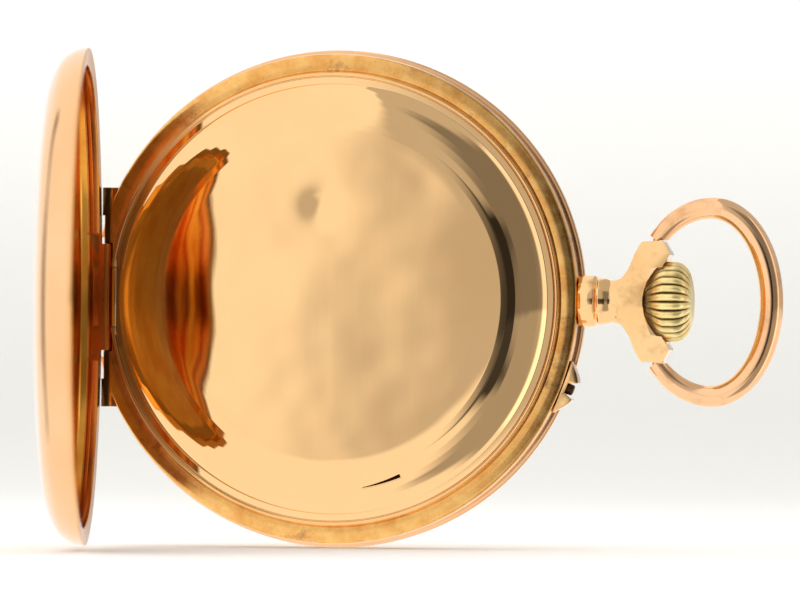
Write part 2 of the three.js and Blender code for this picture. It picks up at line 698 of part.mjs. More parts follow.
function palletFork() {
  const toEscape = bearing(palletAt, escapeAt);
  const along = ([forward, side]) => [
    forward * Math.cos(toEscape) - side * Math.sin(toEscape),
    forward * Math.sin(toEscape) + side * Math.cos(toEscape),
  ];
  const half = [[0.3, 0], [0.45, 1.2], [0.95, 2.05], [0.5, 2.3], [-0.1, 0.6], [-2.3, 0.25], [-3.2, 0.6], [-3.2, 0.25]];
  const otherHalf = half.slice(1).map(([forward, side]) => [forward, -side]).reverse();
  const notch = [-2.8, 0];
  const shape = outline([...half, notch, ...otherHalf].map(along));
  const body = plate(shape, escapeY).translate(palletAt[0], 0, palletAt[1]);
  const shaft = arbor([
    [0, -8.5], [0.1, -8.5], [0.1, -8.25], [0.22, -8.25], [0.22, -6.7], [0.1, -6.7], [0.1, pivotFront],
    [0, pivotFront],
  ], palletAt);
  return carve(body, { joins: [shaft] });
}

function balanceWheel() {
  const at = { x: balanceAt[0], z: balanceAt[1] };
  const rim = ring(6.1, 6.8, balanceY, { ...at, segments: 24 });
  const staff = arbor([
    [0, -10.4], [0.1, -10.4], [0.1, -9.85], [0.6, -9.85], [0.6, -9.4], [0.35, -9.4], [0.35, -8.85], [1, -8.75],
    [1, -8.55], [0.35, -8.55], [0.35, -6.8], [0.1, -6.8], [0.1, pivotFront], [0, pivotFront],
  ], balanceAt);
  const toPallet = bearing(balanceAt, palletAt);
  const middleY = (balanceY[0] + balanceY[1]) / 2;
  const arm = box(12.6, 0.3, 0.8, 0, middleY, 0).rotateY(-toPallet - Math.PI / 2).translate(at.x, 0, at.z);
  const [pinX, pinZ] = stepFrom(balanceAt, 0.75, toPallet);
  const impulsePin = disc(0.13, [-8.65, -7.95], { x: pinX, z: pinZ, segments: 8 });
  const screws = [];
  for (let i = 0; i < balanceScrews; i++) {
    const angle = toPallet + (2 * Math.PI * (i + 0.5)) / balanceScrews;
    const head = new THREE.CylinderGeometry(0.22, 0.22, 0.5, 6).rotateZ(Math.PI / 2).translate(6.95, middleY, 0);
    screws.push(radial(head, angle).translate(at.x, 0, at.z));
  }
  return carve(rim, { joins: [staff, arm, impulsePin, ...screws] });
}

// Plates and bridges
const plateR = boreR - 0.1;
const bridgeR = 19.8;
const coverScrewR = 0.75;

function mainPlate() {
  const shape = roundOutline(plateR);
  const holes = [
    [0.7, centreAt], [0.45, thirdAt], [0.45, fourthAt], [0.35, escapeAt], [0.35, palletAt], [0.35, balanceAt],
    [0.85, barrelAt],  ];
  for (const [radius, [x, z]] of holes) hole(shape, radius, x, z);
  for (const [x, z] of [...bridgeScrews, ...caseScrewAt]) hole(shape, 0.4, x, z);
  const stemSlot = box(6.4, 3, 5.2, 17, -6, 0);
  const stemGroove = box(12, 1.2, 1.3, 17, -6.9, 0);
  return carve(plate(shape, plateY, 4), { cuts: [stemSlot, stemGroove, rodAlongStem(0.62, 11, 23, 10)] });
}

const barrelScrewAt = [polar(18.6, rad(-18)), polar(18.4, rad(-96))];
const trainScrewAt = [polar(18.3, rad(24)), polar(18, rad(103))];
const cockScrewAt = polar(16.6, rad(211));
const caseScrewAt = [[19.6, 3.4], [-18.6, -7.2]];
const bridgeScrews = [...barrelScrewAt, ...trainScrewAt, cockScrewAt];

// A pillar under a bridge, from the plate up to the bridge
function foot(radius, [x, z], low = bridgeY[1]) {
  return disc(radius, [low - 0.05, plateY[0] - 0.02], { x, z, segments: 10 });
}

function sector(innerR, outerR, from, to) {
  const shape = new THREE.Shape();
  shape.absarc(0, 0, outerR, from, to, false);
  shape.absarc(0, 0, innerR, to, from, true);
  return shape;
}

function screwHoles(places) {
  return places.map(([x, z]) => disc(0.4, [-12, -5], { x, z, segments: 8 }));
}

function barrelBridge() {
  const shape = sector(2.2, bridgeR, rad(-108), rad(5));
  hole(shape, 0.95, ...barrelAt);
  const body = plate(shape, bridgeY, 10);
  const feet = barrelScrewAt.map((at) => foot(1.1, at));
  const boss = disc(0.7, [ratchetY[0] + 0.02, bridgeY[0] + 0.1], { x: crownWheelAt[0], z: 0, segments: 12 });
  const windingGap = box(3.2, 2, 6, 17.3, -9.2, 0);
  return carve(body, { joins: [...feet, boss], cuts: [...screwHoles(barrelScrewAt), windingGap] });
}

function trainBridge() {
  const shape = sector(4.2, bridgeR, rad(8), rad(112));
  hole(shape, 0.35, ...thirdAt);
  hole(shape, 0.35, ...fourthAt);
  const reach = plate(outline([[-1.6, 3.4], [-1.2, 5.6], [1.9, 5.6], [3.4, 3], [1.3, -1.3], [-1.3, -1.3]]), bridgeY);
  const escapeArm = plate(outline([[-3, 12], [-6, 9.6], [-5.15, 7.75], [-4.3, 7.1], [-2, 7.6]]), bridgeY);
  const centreHole = disc(0.4, [-10, -8], { segments: 8 });
  const escapeHole = disc(0.25, [-10, -8], { x: escapeAt[0], z: escapeAt[1], segments: 8 });
  const feet = trainScrewAt.map((at) => foot(1.1, at));
  const cuts = [...screwHoles(trainScrewAt), centreHole, escapeHole];
  return carve(plate(shape, bridgeY, 10), { joins: [reach, escapeArm, ...feet], cuts });
}

function palletCock() {
  const across = bearing(palletAt, escapeAt) + Math.PI / 2;
  const far = stepFrom(palletAt, 4.2, across);
  const bar = box(5.4, palletCockY[1] - palletCockY[0], 1.3, 2.1, (palletCockY[0] + palletCockY[1]) / 2, 0)
    .rotateY(-across)
    .translate(palletAt[0], 0, palletAt[1]);
  const post = disc(0.6, [palletCockY[0], plateY[0] - 0.02], { x: far[0], z: far[1], segments: 10 });
  const pivotHole = disc(0.2, [-9, -8], { x: palletAt[0], z: palletAt[1], segments: 8 });
  return carve(bar, { joins: [post], cuts: [pivotHole] });
}

function balanceCock() {
  const [x, z] = balanceAt;
  const footShape = sector(15.2, 18.2, rad(196), rad(226));
  const block = plate(footShape, [cockY[0], plateY[0] - 0.02], 6);
  const toFoot = bearing(balanceAt, cockScrewAt);
  const reach = Math.hypot(cockScrewAt[0] - x, cockScrewAt[1] - z);
  const middleY = (cockY[0] + cockY[1]) / 2;
  const arm = box(reach + 1, cockY[1] - cockY[0], 2.6, reach / 2 - 0.2, middleY, 0).rotateY(-toFoot).translate(x, 0, z);
  const table = disc(2, cockY, { x, z, segments: 20 });
  const jewelHole = disc(0.2, [-12, -9], { x, z, segments: 8 });
  return carve(block, { joins: [arm, table], cuts: [jewelHole, ...screwHoles([cockScrewAt])] });
}

function regulator() {
  const [x, z] = balanceAt;
  const collar = ring(1.1, 1.6, [-10.7, -10.5], { x, z, segments: 12 });
  const pointer = box(5, 0.2, 0.3, 3.9, -10.6, 0).rotateY(-rad(80)).translate(x, 0, z);
  return carve(collar, { joins: [pointer] });
}

// A screw standing on a level, its head towards the back
function screw([x, z], headLevel, length, headR = coverScrewR) {
  return turned(
    [[0, headLevel - 0.4], [headR, headLevel - 0.4], [headR, headLevel], [0.33, headLevel], [0.33, headLevel + length],
      [0, headLevel + length]],
    { x, z, segments: 10 },
  );
}

const clickAt = polar(18.4, rad(-62));
const clickLevels = [ratchetY[0], ratchetY[1]];

function click() {
  const toRatchet = bearing(clickAt, barrelAt);
  const [tipX, tipZ] = [2.45, 0.9];
  const shape = outline([[-0.7, -0.6], [0.7, -0.6], [1.6, 0], [tipX, tipZ], [1.4, 1.2], [-0.7, 0.6]]);
  hole(shape, 0.4);
  return plate(shape, clickLevels, 4).rotateY(-toRatchet).translate(clickAt[0], 0, clickAt[1]);
}

function clickSpring() {
  const shape = sector(19.1, 19.35, rad(-88), rad(-68));
  return plate(shape, [ratchetY[0] + 0.1, ratchetY[1]], 6);
}

function dial() {
  const shape = roundOutline(boreR - 0.4);
  hole(shape, 1);
  hole(shape, 0.4, ...fourthAt);
  return plate(shape, dialY);
}

// A hand that turns about (x, z); the angle is counted clockwise from twelve as seen on the dial
function hand(points, hub, bore, levels, angle, [x, z]) {
  const shape = outline([...points, ...points.map(([across, along]) => [-across, along]).reverse()]);
  const blade = plate(shape, levels);
  const collar = ring(bore, hub, levels, { segments: 12 });
  const eye = disc(bore, [levels[0] - 1, levels[1] + 1], { segments: 12 });
  const flat = carve(blade, { joins: [collar], cuts: [eye] });
  return flat.rotateY(Math.PI - angle).translate(x, 0, z);
}

const hourAngle = rad(304.5);
const minuteAngle = rad(54);
const secondsAngle = rad(192);

function hourHand() {
  return hand([[0.4, 0.9], [0.45, 6.5], [1.3, 8], [0.3, 9.4], [0.05, 12.2]], 1.4, 0.9, [-3.92, -3.75], hourAngle,
    centreAt);
}

function minuteHand() {
  return hand([[0.35, 0.6], [0.35, 11.5], [1, 13], [0.25, 14.4], [0.05, 18.3]], 1, 0.53, [-3.42, -3.24], minuteAngle,
    centreAt);
}

function secondsHand() {
  return hand([[0.12, -1.6], [0.1, 0], [0.05, 3.6]], 0.45, 0.22, [-4.15, -4.02], secondsAngle, fourthAt);
}

function ratchetScrew([x, z]) {
  return turned([[0, -10.5], [1.3, -10.5], [1.3, -10.2], [0, -10.2]], { x, z, segments: 14 });
}

add("main_plate", mainPlate(), nickel);
add("barrel_bridge", barrelBridge(), nickel);
add("train_bridge", trainBridge(), nickel);
add("balance_cock", balanceCock(), nickel);
add("pallet_cock", palletCock(), nickel);
add("regulator", regulator(), steel);
add("click", click(), steel);
add("click_spring", clickSpring(), steel);
add("crown_wheel_screw", ratchetScrew(crownWheelAt), steel);
barrelScrewAt.forEach((at, i) => add(`barrel_bridge_screw_${i + 1}`, screw(at, bridgeY[0] - 0.02, 3), blueSteel));
trainScrewAt.forEach((at, i) => add(`train_bridge_screw_${i + 1}`, screw(at, bridgeY[0] - 0.02, 3), blueSteel));
add("balance_cock_screw", screw(cockScrewAt, cockY[0] - 0.02, 3.6), blueSteel);
caseScrewAt.forEach((at, i) => add(`case_screw_${i + 1}`, screw(at, plateY[0] - 0.02, 0.9), blueSteel));

add("center_wheel", centreWheel(), gilt);
add("third_wheel", thirdWheel(), gilt);
add("fourth_wheel", fourthWheel(), gilt);
add("escape_wheel", escapeWheel(), steel);
add("pallet_fork", palletFork(), steel);
add("balance_wheel", balanceWheel(), gilt);
add("hairspring", hairspring(), blueSteel);
add("mainspring_barrel", barrel(), gilt);
add("mainspring", mainspring(), blueSteel);
add("barrel_arbor", barrelArbor(), steel);
add("ratchet_wheel", ratchetWheel(), steel);
add("crown_wheel", crownWheel(), steel);
add("winding_pinion", windingPinion(), steel);
add("sliding_pinion", slidingPinion(), steel);
add("minute_wheel", minuteWheel(), gilt);
add("cannon_pinion", cannonPinion(), steel);
add("hour_wheel", hourWheel(), gilt);
add("dial", dial(), enamel);
add("hour_hand", hourHand(), blueSteel);
add("minute_hand", minuteHand(), blueSteel);
add("seconds_hand", secondsHand(), blueSteel);

export default watch;
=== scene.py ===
"""Looks of the hunter pocket watch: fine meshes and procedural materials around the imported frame.

The case axis is Y, the back of the watch faces -Y, the pendant points along +X, and the watch stands on
its edge. Sizes are in millimetres and turn into metres where a mesh is made.
"""
import json
import math

import bmesh
import bpy
from mathutils import Matrix, Vector, noise

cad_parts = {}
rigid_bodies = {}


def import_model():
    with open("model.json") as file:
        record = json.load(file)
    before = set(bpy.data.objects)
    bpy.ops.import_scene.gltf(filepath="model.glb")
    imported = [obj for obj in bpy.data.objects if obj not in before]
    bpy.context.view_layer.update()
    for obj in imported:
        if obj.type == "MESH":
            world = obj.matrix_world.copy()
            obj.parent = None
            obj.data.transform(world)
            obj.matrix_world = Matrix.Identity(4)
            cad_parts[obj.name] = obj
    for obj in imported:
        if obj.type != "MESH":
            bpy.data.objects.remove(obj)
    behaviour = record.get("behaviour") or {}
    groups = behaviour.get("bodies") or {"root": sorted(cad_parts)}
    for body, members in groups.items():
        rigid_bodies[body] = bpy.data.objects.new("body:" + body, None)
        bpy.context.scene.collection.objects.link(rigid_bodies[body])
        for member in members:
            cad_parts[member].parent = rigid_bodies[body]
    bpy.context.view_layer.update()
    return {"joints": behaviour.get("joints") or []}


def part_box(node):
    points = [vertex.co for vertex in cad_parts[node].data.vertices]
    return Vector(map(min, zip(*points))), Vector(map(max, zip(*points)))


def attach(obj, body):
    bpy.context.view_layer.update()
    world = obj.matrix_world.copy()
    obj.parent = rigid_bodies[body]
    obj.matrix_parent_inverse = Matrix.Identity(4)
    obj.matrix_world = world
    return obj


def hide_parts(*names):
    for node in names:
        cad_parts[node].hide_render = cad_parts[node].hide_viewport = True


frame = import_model()
scene = bpy.context.scene
scene.view_settings.view_transform = "Standard"

MM = 0.001
TINY = 1e-6  # millimetres; shorter lengths count as nothing
WELD = 1e-7  # metres; vertices this close become one


# ---------------------------------------------------------------- places read from the frame
def joint(name):
    return next(j for j in frame["joints"] if j["name"] == name)


def pivot(name):
    return tuple(v / MM for v in joint(name)["pos_m"])


def low(node):
    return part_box(node)[0] / MM


def high(node):
    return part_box(node)[1] / MM


HINGE_X, BACK_HINGE_Y, _ = pivot("back_cover_hinge")
FRONT_HINGE_Y = pivot("front_cover_hinge")[1]
DUST_HINGE_X, DUST_HINGE_Y, _ = pivot("dust_cover_hinge")
BOW_X, STEM_Y, _ = pivot("bow_swing")
BACK_OPEN = math.radians(-joint("back_cover_hinge")["range_deg"][0])

# the case, as radii from its axis and levels along it
CASE_R = high("front_cover").z
SEAT_R = 24.55
RIDGE_R = 22.7
BORE_R = 21.6
CASE_WALL_R = 24.62  # where pieces that stand on the case's side begin
FRONT_SEAT_Y = -5.25
BACK_SEAT_Y = -8.9
SEAT_GAP = 0.05
SEAT_SLOPE = 0.15  # the back seat stands a little higher inside than at its edge
CLOSED_DEPTH = 13.5
AROUND = 256  # facets round the case

# the hinges, as half lengths along Z
HINGE_HALF = high("back_hinge_pin").z
LEAF_HALF = 5.35
KNUCKLE_GAP = 0.1
DUST_HALF = high("dust_hinge_pin").z
DUST_KNUCKLE = 2.95
PIN_BORE_R = 0.3
DUST_BORE_R = 0.15

# the dust cover
DISC_R = 17.5
DISC_Y = -11.55
DISC_RISE = 0.12  # how far the disc's edge lies behind its middle
DUST_WALL = 0.42
SLIT_SPAN = (-80, -68)  # degrees about the case axis

# the pendant, the set pin, the crown and the bow
HEAD_HALF = 2.8  # half thickness of the pendant's head in the middle
HEAD_TAPER = 0.38  # how much of that is lost at the ears
EAR_Z = 6.12
SET_PIN_ANGLE = -20.5
PIN_HOLE_R = 0.62
GUARD_HALF = 1.2
FLUTES = 26
BOW_HALF_WIDTH = 9.4
BOW_MIDDLE = 5.55
BOW_INNER_REACH = 7.3
BOW_OUTER_REACH = 6.0
BOW_TRIM_Z = 6.15

# the dial
DIAL_Y = -4.25
SECONDS_AT = (0, 9.5)

# the studio
FLOOR_Z = -25.0
FOCUS_Y = -12.5
AIM = Vector((6.3, -6.0, 0.0))
CAMERA_AWAY = 1100
CAMERA_TURN = math.radians(7.3)
CAMERA_ROLL = math.radians(0.5)


# ---------------------------------------------------------------- mesh building
def new_object(name, data):
    piece = bpy.data.objects.new(name, data)
    scene.collection.objects.link(piece)
    return piece


def edited(mesh, edit):
    """Runs an edit on a mesh's bmesh and writes the result back."""
    bm = bmesh.new()
    bm.from_mesh(mesh)
    edit(bm)
    bm.to_mesh(mesh)
    bm.free()


def welded(bm):
    """Merges the vertices that coincide and turns every face outward."""
    bmesh.ops.remove_doubles(bm, verts=bm.verts, dist=WELD)
    bmesh.ops.recalc_face_normals(bm, faces=bm.faces)


def mesh_from(name, verts, faces, smooth=True):
    mesh = bpy.data.meshes.new(name)
    mesh.from_pydata([tuple(c * MM for c in v) for v in verts], [], faces)
    edited(mesh, welded)
    for face in mesh.polygons:
        face.use_smooth = smooth
    return new_object(name, mesh)


def fillet(points, steps=5):
    """A closed outline whose corners carry radii: (a, b, radius) becomes an arc that joins both sides."""
    out = []
    count = len(points)
    for i, point in enumerate(points):
        here = Vector(point[:2])
        radius = point[2] if len(point) > 2 else 0
        to_last = Vector(points[i - 1][:2]) - here
        to_next = Vector(points[(i + 1) % count][:2]) - here
        if radius <= 0 or to_last.length < TINY or to_next.length < TINY:
            out.append(tuple(here))
            continue
        angle = to_last.angle(to_next)
        if angle > math.pi - 0.02:
            out.append(tuple(here))
            continue
        reach = min(radius / math.tan(angle / 2), to_last.length * 0.49, to_next.length * 0.49)
        start = here + to_last.normalized() * reach
        end = here + to_next.normalized() * reach
        for k in range(steps + 1):
            t = k / steps
            out.append(tuple((1 - t) ** 2 * start + 2 * t * (1 - t) * here + t * t * end))
    return out


def revolve(name, outline, segments=192, axis_at=(0, 0), steps=5):
    """Turns an outline of (radius, y, corner radius) about the case axis, or a line parallel to it."""
    profile = fillet(outline, steps)
    verts, faces = [], []
    for r, y in profile:
        for k in range(segments):
            a = 2 * math.pi * k / segments
            verts.append((axis_at[0] + r * math.cos(a), y, axis_at[1] + r * math.sin(a)))
    rows = len(profile)
    for i in range(rows):
        j = (i + 1) % rows
        if profile[i][0] < TINY and profile[j][0] < TINY:
            continue
        for k in range(segments):
            n = (k + 1) % segments
            quad = [i * segments + k, i * segments + n, j * segments + n, j * segments + k]
            if profile[i][0] < TINY:
                quad = [i * segments, quad[2], quad[3]]
            elif profile[j][0] < TINY:
                quad = [quad[0], quad[1], j * segments]
            faces.append(quad)
    return mesh_from(name, verts, faces)


def along_stem(piece):
    """Lays a piece turned about Y onto the stem's line: its y becomes x."""
    turn = Matrix(((0, 1, 0, 0), (-1, 0, 0, STEM_Y * MM), (0, 0, 1, 0), (0, 0, 0, 1)))
    piece.data.transform(turn)
    piece.data.update()
    return piece


def turned_on_stem(name, outline, segments=96, steps=5):
    return along_stem(revolve(name, outline, segments, steps=steps))


def polar(radius, degrees):
    a = math.radians(degrees)
    return radius * math.cos(a), radius * math.sin(a)


def evaluated_mesh(piece):
    return bpy.data.meshes.new_from_object(piece.evaluated_get(bpy.context.evaluated_depsgraph_get()))


def mesh_of_curve(curve):
    flat = new_object("flat", curve)
    mesh = evaluated_mesh(flat)
    bpy.data.objects.remove(flat)
    return mesh


def slab(name, outline, y_low, y_high, holes=()):
    """A flat plate: an (x, z) outline between two levels, with other outlines as holes through it."""
    curve = bpy.data.curves.new(name, "CURVE")
    curve.dimensions = "2D"
    curve.fill_mode = "BOTH"
    curve.extrude = (y_high - y_low) / 2 * MM
    for ring in (outline, *holes):
        spline = curve.splines.new("POLY")
        spline.points.add(len(ring) - 1)
        for point, (x, z) in zip(spline.points, ring):
            point.co = (x * MM, z * MM, 0, 1)
        spline.use_cyclic_u = True
    mesh = mesh_of_curve(curve)
    middle = (y_low + y_high) / 2 * MM
    mesh.transform(Matrix(((1, 0, 0, 0), (0, 0, -1, middle), (0, 1, 0, 0), (0, 0, 0, 1))))

    def cleaned(bm):
        bmesh.ops.remove_doubles(bm, verts=bm.verts, dist=WELD)
        bmesh.ops.dissolve_limit(bm, angle_limit=0.001, verts=bm.verts, edges=bm.edges)
        bmesh.ops.recalc_face_normals(bm, faces=bm.faces)

    edited(mesh, cleaned)
    mesh.name = name
    return new_object(name, mesh)


def circle(radius, at=(0, 0), count=64):
    turns = [2 * math.pi * k / count for k in range(count)]
    return [(at[0] + radius * math.cos(a), at[1] + radius * math.sin(a)) for a in turns]


def apply_modifiers(piece):
    mesh = evaluated_mesh(piece)
    piece.modifiers.clear()
    piece.data = mesh
    return piece


def bevel(piece, width, segments=3, angle=30):
    modifier = piece.modifiers.new("edge", "BEVEL")
    modifier.width = width * MM
    modifier.segments = segments
    modifier.limit_method = "ANGLE"
    modifier.angle_limit = math.radians(angle)
    modifier.miter_outer = "MITER_ARC"
    return apply_modifiers(piece)


def combine(piece, tools, operation):
    """Joins or cuts a piece with helper pieces, which are used up."""
    for tool in tools:
        modifier = piece.modifiers.new("cut", "BOOLEAN")
        modifier.operation = operation
        modifier.solver = "EXACT"
        modifier.object = tool
        apply_modifiers(piece)
        bpy.data.objects.remove(tool)
    return piece


def cut(piece, *tools):
    return combine(piece, tools, "DIFFERENCE")


def join(piece, *tools):
    return combine(piece, tools, "UNION")


def block(name, low_corner, high_corner):
    corners = [(x, y, z) for x in (low_corner[0], high_corner[0]) for y in (low_corner[1], high_corner[1])
               for z in (low_corner[2], high_corner[2])]
    faces = [(0, 1, 3, 2), (4, 6, 7, 5), (0, 4, 5, 1), (2, 3, 7, 6), (0, 2, 6, 4), (1, 5, 7, 3)]
    return mesh_from(name, corners, faces, smooth=False)


def rod_z(name, radius, x, y, z_low, z_high, segments=48, edge=0.05):
    """A rod along Z with softened ends."""
    outline = [(0, z_low), (radius, z_low, edge), (radius, z_high, edge), (0, z_high)]
    rod = revolve(name, outline, segments, steps=3)
    rod.data.transform(Matrix(((1, 0, 0, x * MM), (0, 0, -1, y * MM), (0, 1, 0, 0), (0, 0, 0, 1))))
    edited(rod.data, lambda bm: bmesh.ops.recalc_face_normals(bm, faces=bm.faces))
    return rod


def sliced(piece, levels):
    """Adds edge loops across a piece at the given heights, so that it can bend along Z."""
    def slice_all(bm):
        for level in levels:
            geometry = [*bm.verts, *bm.edges, *bm.faces]
            bmesh.ops.bisect_plane(bm, geom=geometry, plane_co=(0, 0, level * MM), plane_no=(0, 0, 1))

    edited(piece.data, slice_all)


def rod_on_stem(name, radius, x_low, x_high, segments=96):
    return turned_on_stem(name, [(0, x_low), (radius, x_low), (radius, x_high), (0, x_high)], segments)


def select_only(*pieces):
    for other in scene.objects:
        other.select_set(False)
    for piece in pieces:
        piece.select_set(True)
    bpy.context.view_layer.objects.active = pieces[0]


def smooth(piece, degrees=32):
    """Smooth shading that keeps true edges crisp."""
    for face in piece.data.polygons:
        face.use_smooth = True
    select_only(piece)
    bpy.ops.object.shade_smooth_by_angle(angle=math.radians(degrees))
    return piece


def place(piece, body, slot, *nodes, material):
    """Finishes a piece: its material, the body it rides on and the CAD nodes it stands for."""
    piece.data.materials.clear()
    piece.data.materials.append(material)
    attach(piece, body)
    if nodes:
        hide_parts(*nodes)
    return piece


# ---------------------------------------------------------------- materials
class Nodes:
    """A small writer for a material's nodes; places in it are object coordinates, in metres."""

    def __init__(self, name):
        self.material = bpy.data.materials.new(name)
        self.material.use_nodes = True
        self.tree = self.material.node_tree
        self.shader = self.tree.nodes["Principled BSDF"]
        self.place = self.add("ShaderNodeTexCoord").outputs["Object"]

    def add(self, kind, **settings):
        node = self.tree.nodes.new(kind)
        for key, value in settings.items():
            setattr(node, key, value)
        return node

    def link(self, value, socket):
        if isinstance(value, (int, float, tuple)):
            socket.default_value = value
        else:
            self.tree.links.new(value, socket)

    def noise(self, scale, detail=4, roughness=0.55, stretch=(1, 1, 1)):
        mapping = self.add("ShaderNodeMapping")
        mapping.inputs["Scale"].default_value = stretch
        self.link(self.place, mapping.inputs["Vector"])
        texture = self.add("ShaderNodeTexNoise")
        texture.inputs["Scale"].default_value = scale
        texture.inputs["Detail"].default_value = detail
        texture.inputs["Roughness"].default_value = roughness
        self.link(mapping.outputs[0], texture.inputs["Vector"])
        return texture.outputs["Fac"]

    def ramp(self, value, low_at, high_at, low_value=0.0, high_value=1.0):
        node = self.add("ShaderNodeMapRange", clamp=True)
        self.link(value, node.inputs["Value"])
        for socket, number in zip(("From Min", "From Max", "To Min", "To Max"),
                                  (low_at, high_at, low_value, high_value)):
            node.inputs[socket].default_value = number
        return node.outputs["Result"]

    def math(self, operation, a, b=0.0):
        node = self.add("ShaderNodeMath", operation=operation)
        self.link(a, node.inputs[0])
        self.link(b, node.inputs[1])
        return node.outputs[0]

    def mix(self, factor, a, b):
        node = self.add("ShaderNodeMix", data_type="RGBA")
        self.link(factor, node.inputs["Factor"])
        self.link(a, node.inputs["A"])
        self.link(b, node.inputs["B"])
        return node.outputs["Result"]

    def bump(self, height, distance, strength=1.0):
        """Relief of a given depth, in metres."""
        node = self.add("ShaderNodeBump")
        node.inputs["Strength"].default_value = strength
        node.inputs["Distance"].default_value = distance
        self.link(height, node.inputs["Height"])
        self.link(node.outputs["Normal"], self.shader.inputs["Normal"])

    def axis(self, index):
        split = self.add("ShaderNodeSeparateXYZ")
        self.link(self.place, split.inputs[0])
        return split.outputs[index]

    def case_radius(self):
        x, z = self.axis(0), self.axis(2)
        square = self.math("ADD", self.math("MULTIPLY", x, x), self.math("MULTIPLY", z, z))
        return self.math("SQRT", square)

    def finish(self, color, roughness, metallic=1.0):
        self.link(color, self.shader.inputs["Base Color"])
        self.link(roughness, self.shader.inputs["Roughness"])
        self.shader.inputs["Metallic"].default_value = metallic
        return self.material


def rgb(red, green, blue):
    """A colour written as screen values, turned into the linear ones that nodes hold."""
    def linear(v):
        v /= 255
        return v / 12.92 if v <= 0.04045 else ((v + 0.055) / 1.055) ** 2.4
    return linear(red), linear(green), linear(blue), 1.0


def gold(name, bright, deep, roughness, tarnish=None):
    """Polished gold: cloudy colour, fine hairlines, and tarnish that gathers in patches."""
    n = Nodes(name)
    clouds = n.noise(90, 5)
    color = n.mix(n.ramp(clouds, 0.3, 0.75), bright, deep)
    hairlines = n.noise(900, 3, stretch=(1, 0.12, 0.12))
    crossing = n.noise(700, 3, stretch=(0.1, 1, 1))
    lines = n.math("ADD", n.math("MULTIPLY", hairlines, 0.5), n.math("MULTIPLY", crossing, 0.5))
    rough = n.ramp(lines, 0.35, 0.75, roughness * 0.7, roughness * 1.8)
    if tarnish is not None:
        patches = n.ramp(n.noise(260, 7, 0.65), 0.52, 0.8)
        color = n.mix(n.math("MULTIPLY", patches, 0.7), color, tarnish)
        rough = n.math("ADD", rough, n.math("MULTIPLY", patches, 0.15))
    n.bump(lines, 0.000002)
    return n.finish(color, rough)


def seat_gold(name, bright, deep, tarnish):
    """Polished inside, rubbed and stained on the seat the back cover lands on, and darkened with painted shade at the
    hinges.
    """
    n = Nodes(name)
    on_seat = n.ramp(n.case_radius(), 22.55 * MM, 22.8 * MM)
    clouds = n.noise(110, 5)
    color = n.mix(n.ramp(clouds, 0.3, 0.75), bright, deep)
    streaks = n.noise(420, 6, 0.7)
    rubbed = n.mix(n.ramp(streaks, 0.35, 0.65), rgb(226, 160, 84), rgb(250, 198, 120))
    color = n.mix(on_seat, color, rubbed)
    patches = n.math("MULTIPLY", n.ramp(n.noise(190, 8, 0.68), 0.56, 0.68), on_seat)
    color = n.mix(n.math("MULTIPLY", patches, 0.8), color, tarnish)
    # painted shade: near-black brown painted over the hinge ears, where shade falls between the case and the covers
    hinge_painted_shade = n.ramp(n.axis(0), (HINGE_X + 0.5) * MM, (HINGE_X + 0.25) * MM)
    color = n.mix(n.math("MULTIPLY", hinge_painted_shade, 0.92), color, rgb(48, 26, 12))
    rough = n.math("ADD", n.ramp(streaks, 0.3, 0.7, 0.05, 0.12), n.math("MULTIPLY", on_seat, 0.1))
    rough = n.math("ADD", rough, n.math("MULTIPLY", hinge_painted_shade, 0.2))
    n.bump(streaks, 0.000012, 0.6)
    return n.finish(color, rough)


def lid_gold(name, outside, outside_deep, inside, inside_deep):
    """Rose gold outside, and in the back cover's bowl the same gold painted deeper and redder, as painted shade."""
    n = Nodes(name)
    facing = n.add("ShaderNodeSeparateXYZ")
    n.link(n.add("ShaderNodeTexCoord").outputs["Normal"], facing.inputs[0])
    inner = n.ramp(facing.outputs[0], -0.05, 0.15)
    clouds = n.ramp(n.noise(90, 5), 0.3, 0.75)
    outer_color = n.mix(clouds, outside, outside_deep)
    # painted shade: a darker, redder copy of the lid's gold inside the bowl
    bowl_shaded_color = n.mix(n.ramp(n.noise(160, 6, 0.6), 0.35, 0.65), inside, inside_deep)
    hairlines = n.noise(900, 3, stretch=(1, 0.12, 0.12))
    n.bump(hairlines, 0.000001)
    rough = n.math("ADD", n.ramp(hairlines, 0.3, 0.8, 0.06, 0.12), n.math("MULTIPLY", inner, 0.12))
    return n.finish(n.mix(inner, outer_color, bowl_shaded_color), rough)


def dust_cover_gold(name, bright, deep):
    """The bright mirror of the dust cover, with painted shade darkening the bottom of its nail slit."""
    n = Nodes(name)
    color = n.mix(n.ramp(n.noise(90, 5), 0.3, 0.75), bright, deep)
    hairlines = n.noise(900, 3, stretch=(1, 0.12, 0.12))
    n.bump(hairlines, 0.0000006)
    angle = n.math("ARCTAN2", n.axis(2), n.axis(0))
    low_end, high_end = (math.radians(a) for a in SLIT_SPAN)
    along = n.math("MULTIPLY", n.ramp(angle, low_end - 0.02, low_end), n.ramp(angle, high_end + 0.02, high_end))
    across = n.math("MULTIPLY", n.ramp(n.case_radius(), 18.6 * MM, 18.65 * MM),
                    n.ramp(n.case_radius(), 19.3 * MM, 19.25 * MM))
    sunk = n.ramp(n.axis(1), -11.0 * MM, -10.93 * MM)
    # painted shade: the sunk bottom of the nail slit is painted dark brown
    slit_painted_shade = n.math("MULTIPLY", n.math("MULTIPLY", along, across), sunk)
    color = n.mix(slit_painted_shade, color, rgb(52, 26, 8))
    rough = n.math("ADD", n.ramp(hairlines, 0.35, 0.75, 0.014, 0.036), n.math("MULTIPLY", slit_painted_shade, 0.5))
    return n.finish(color, rough)


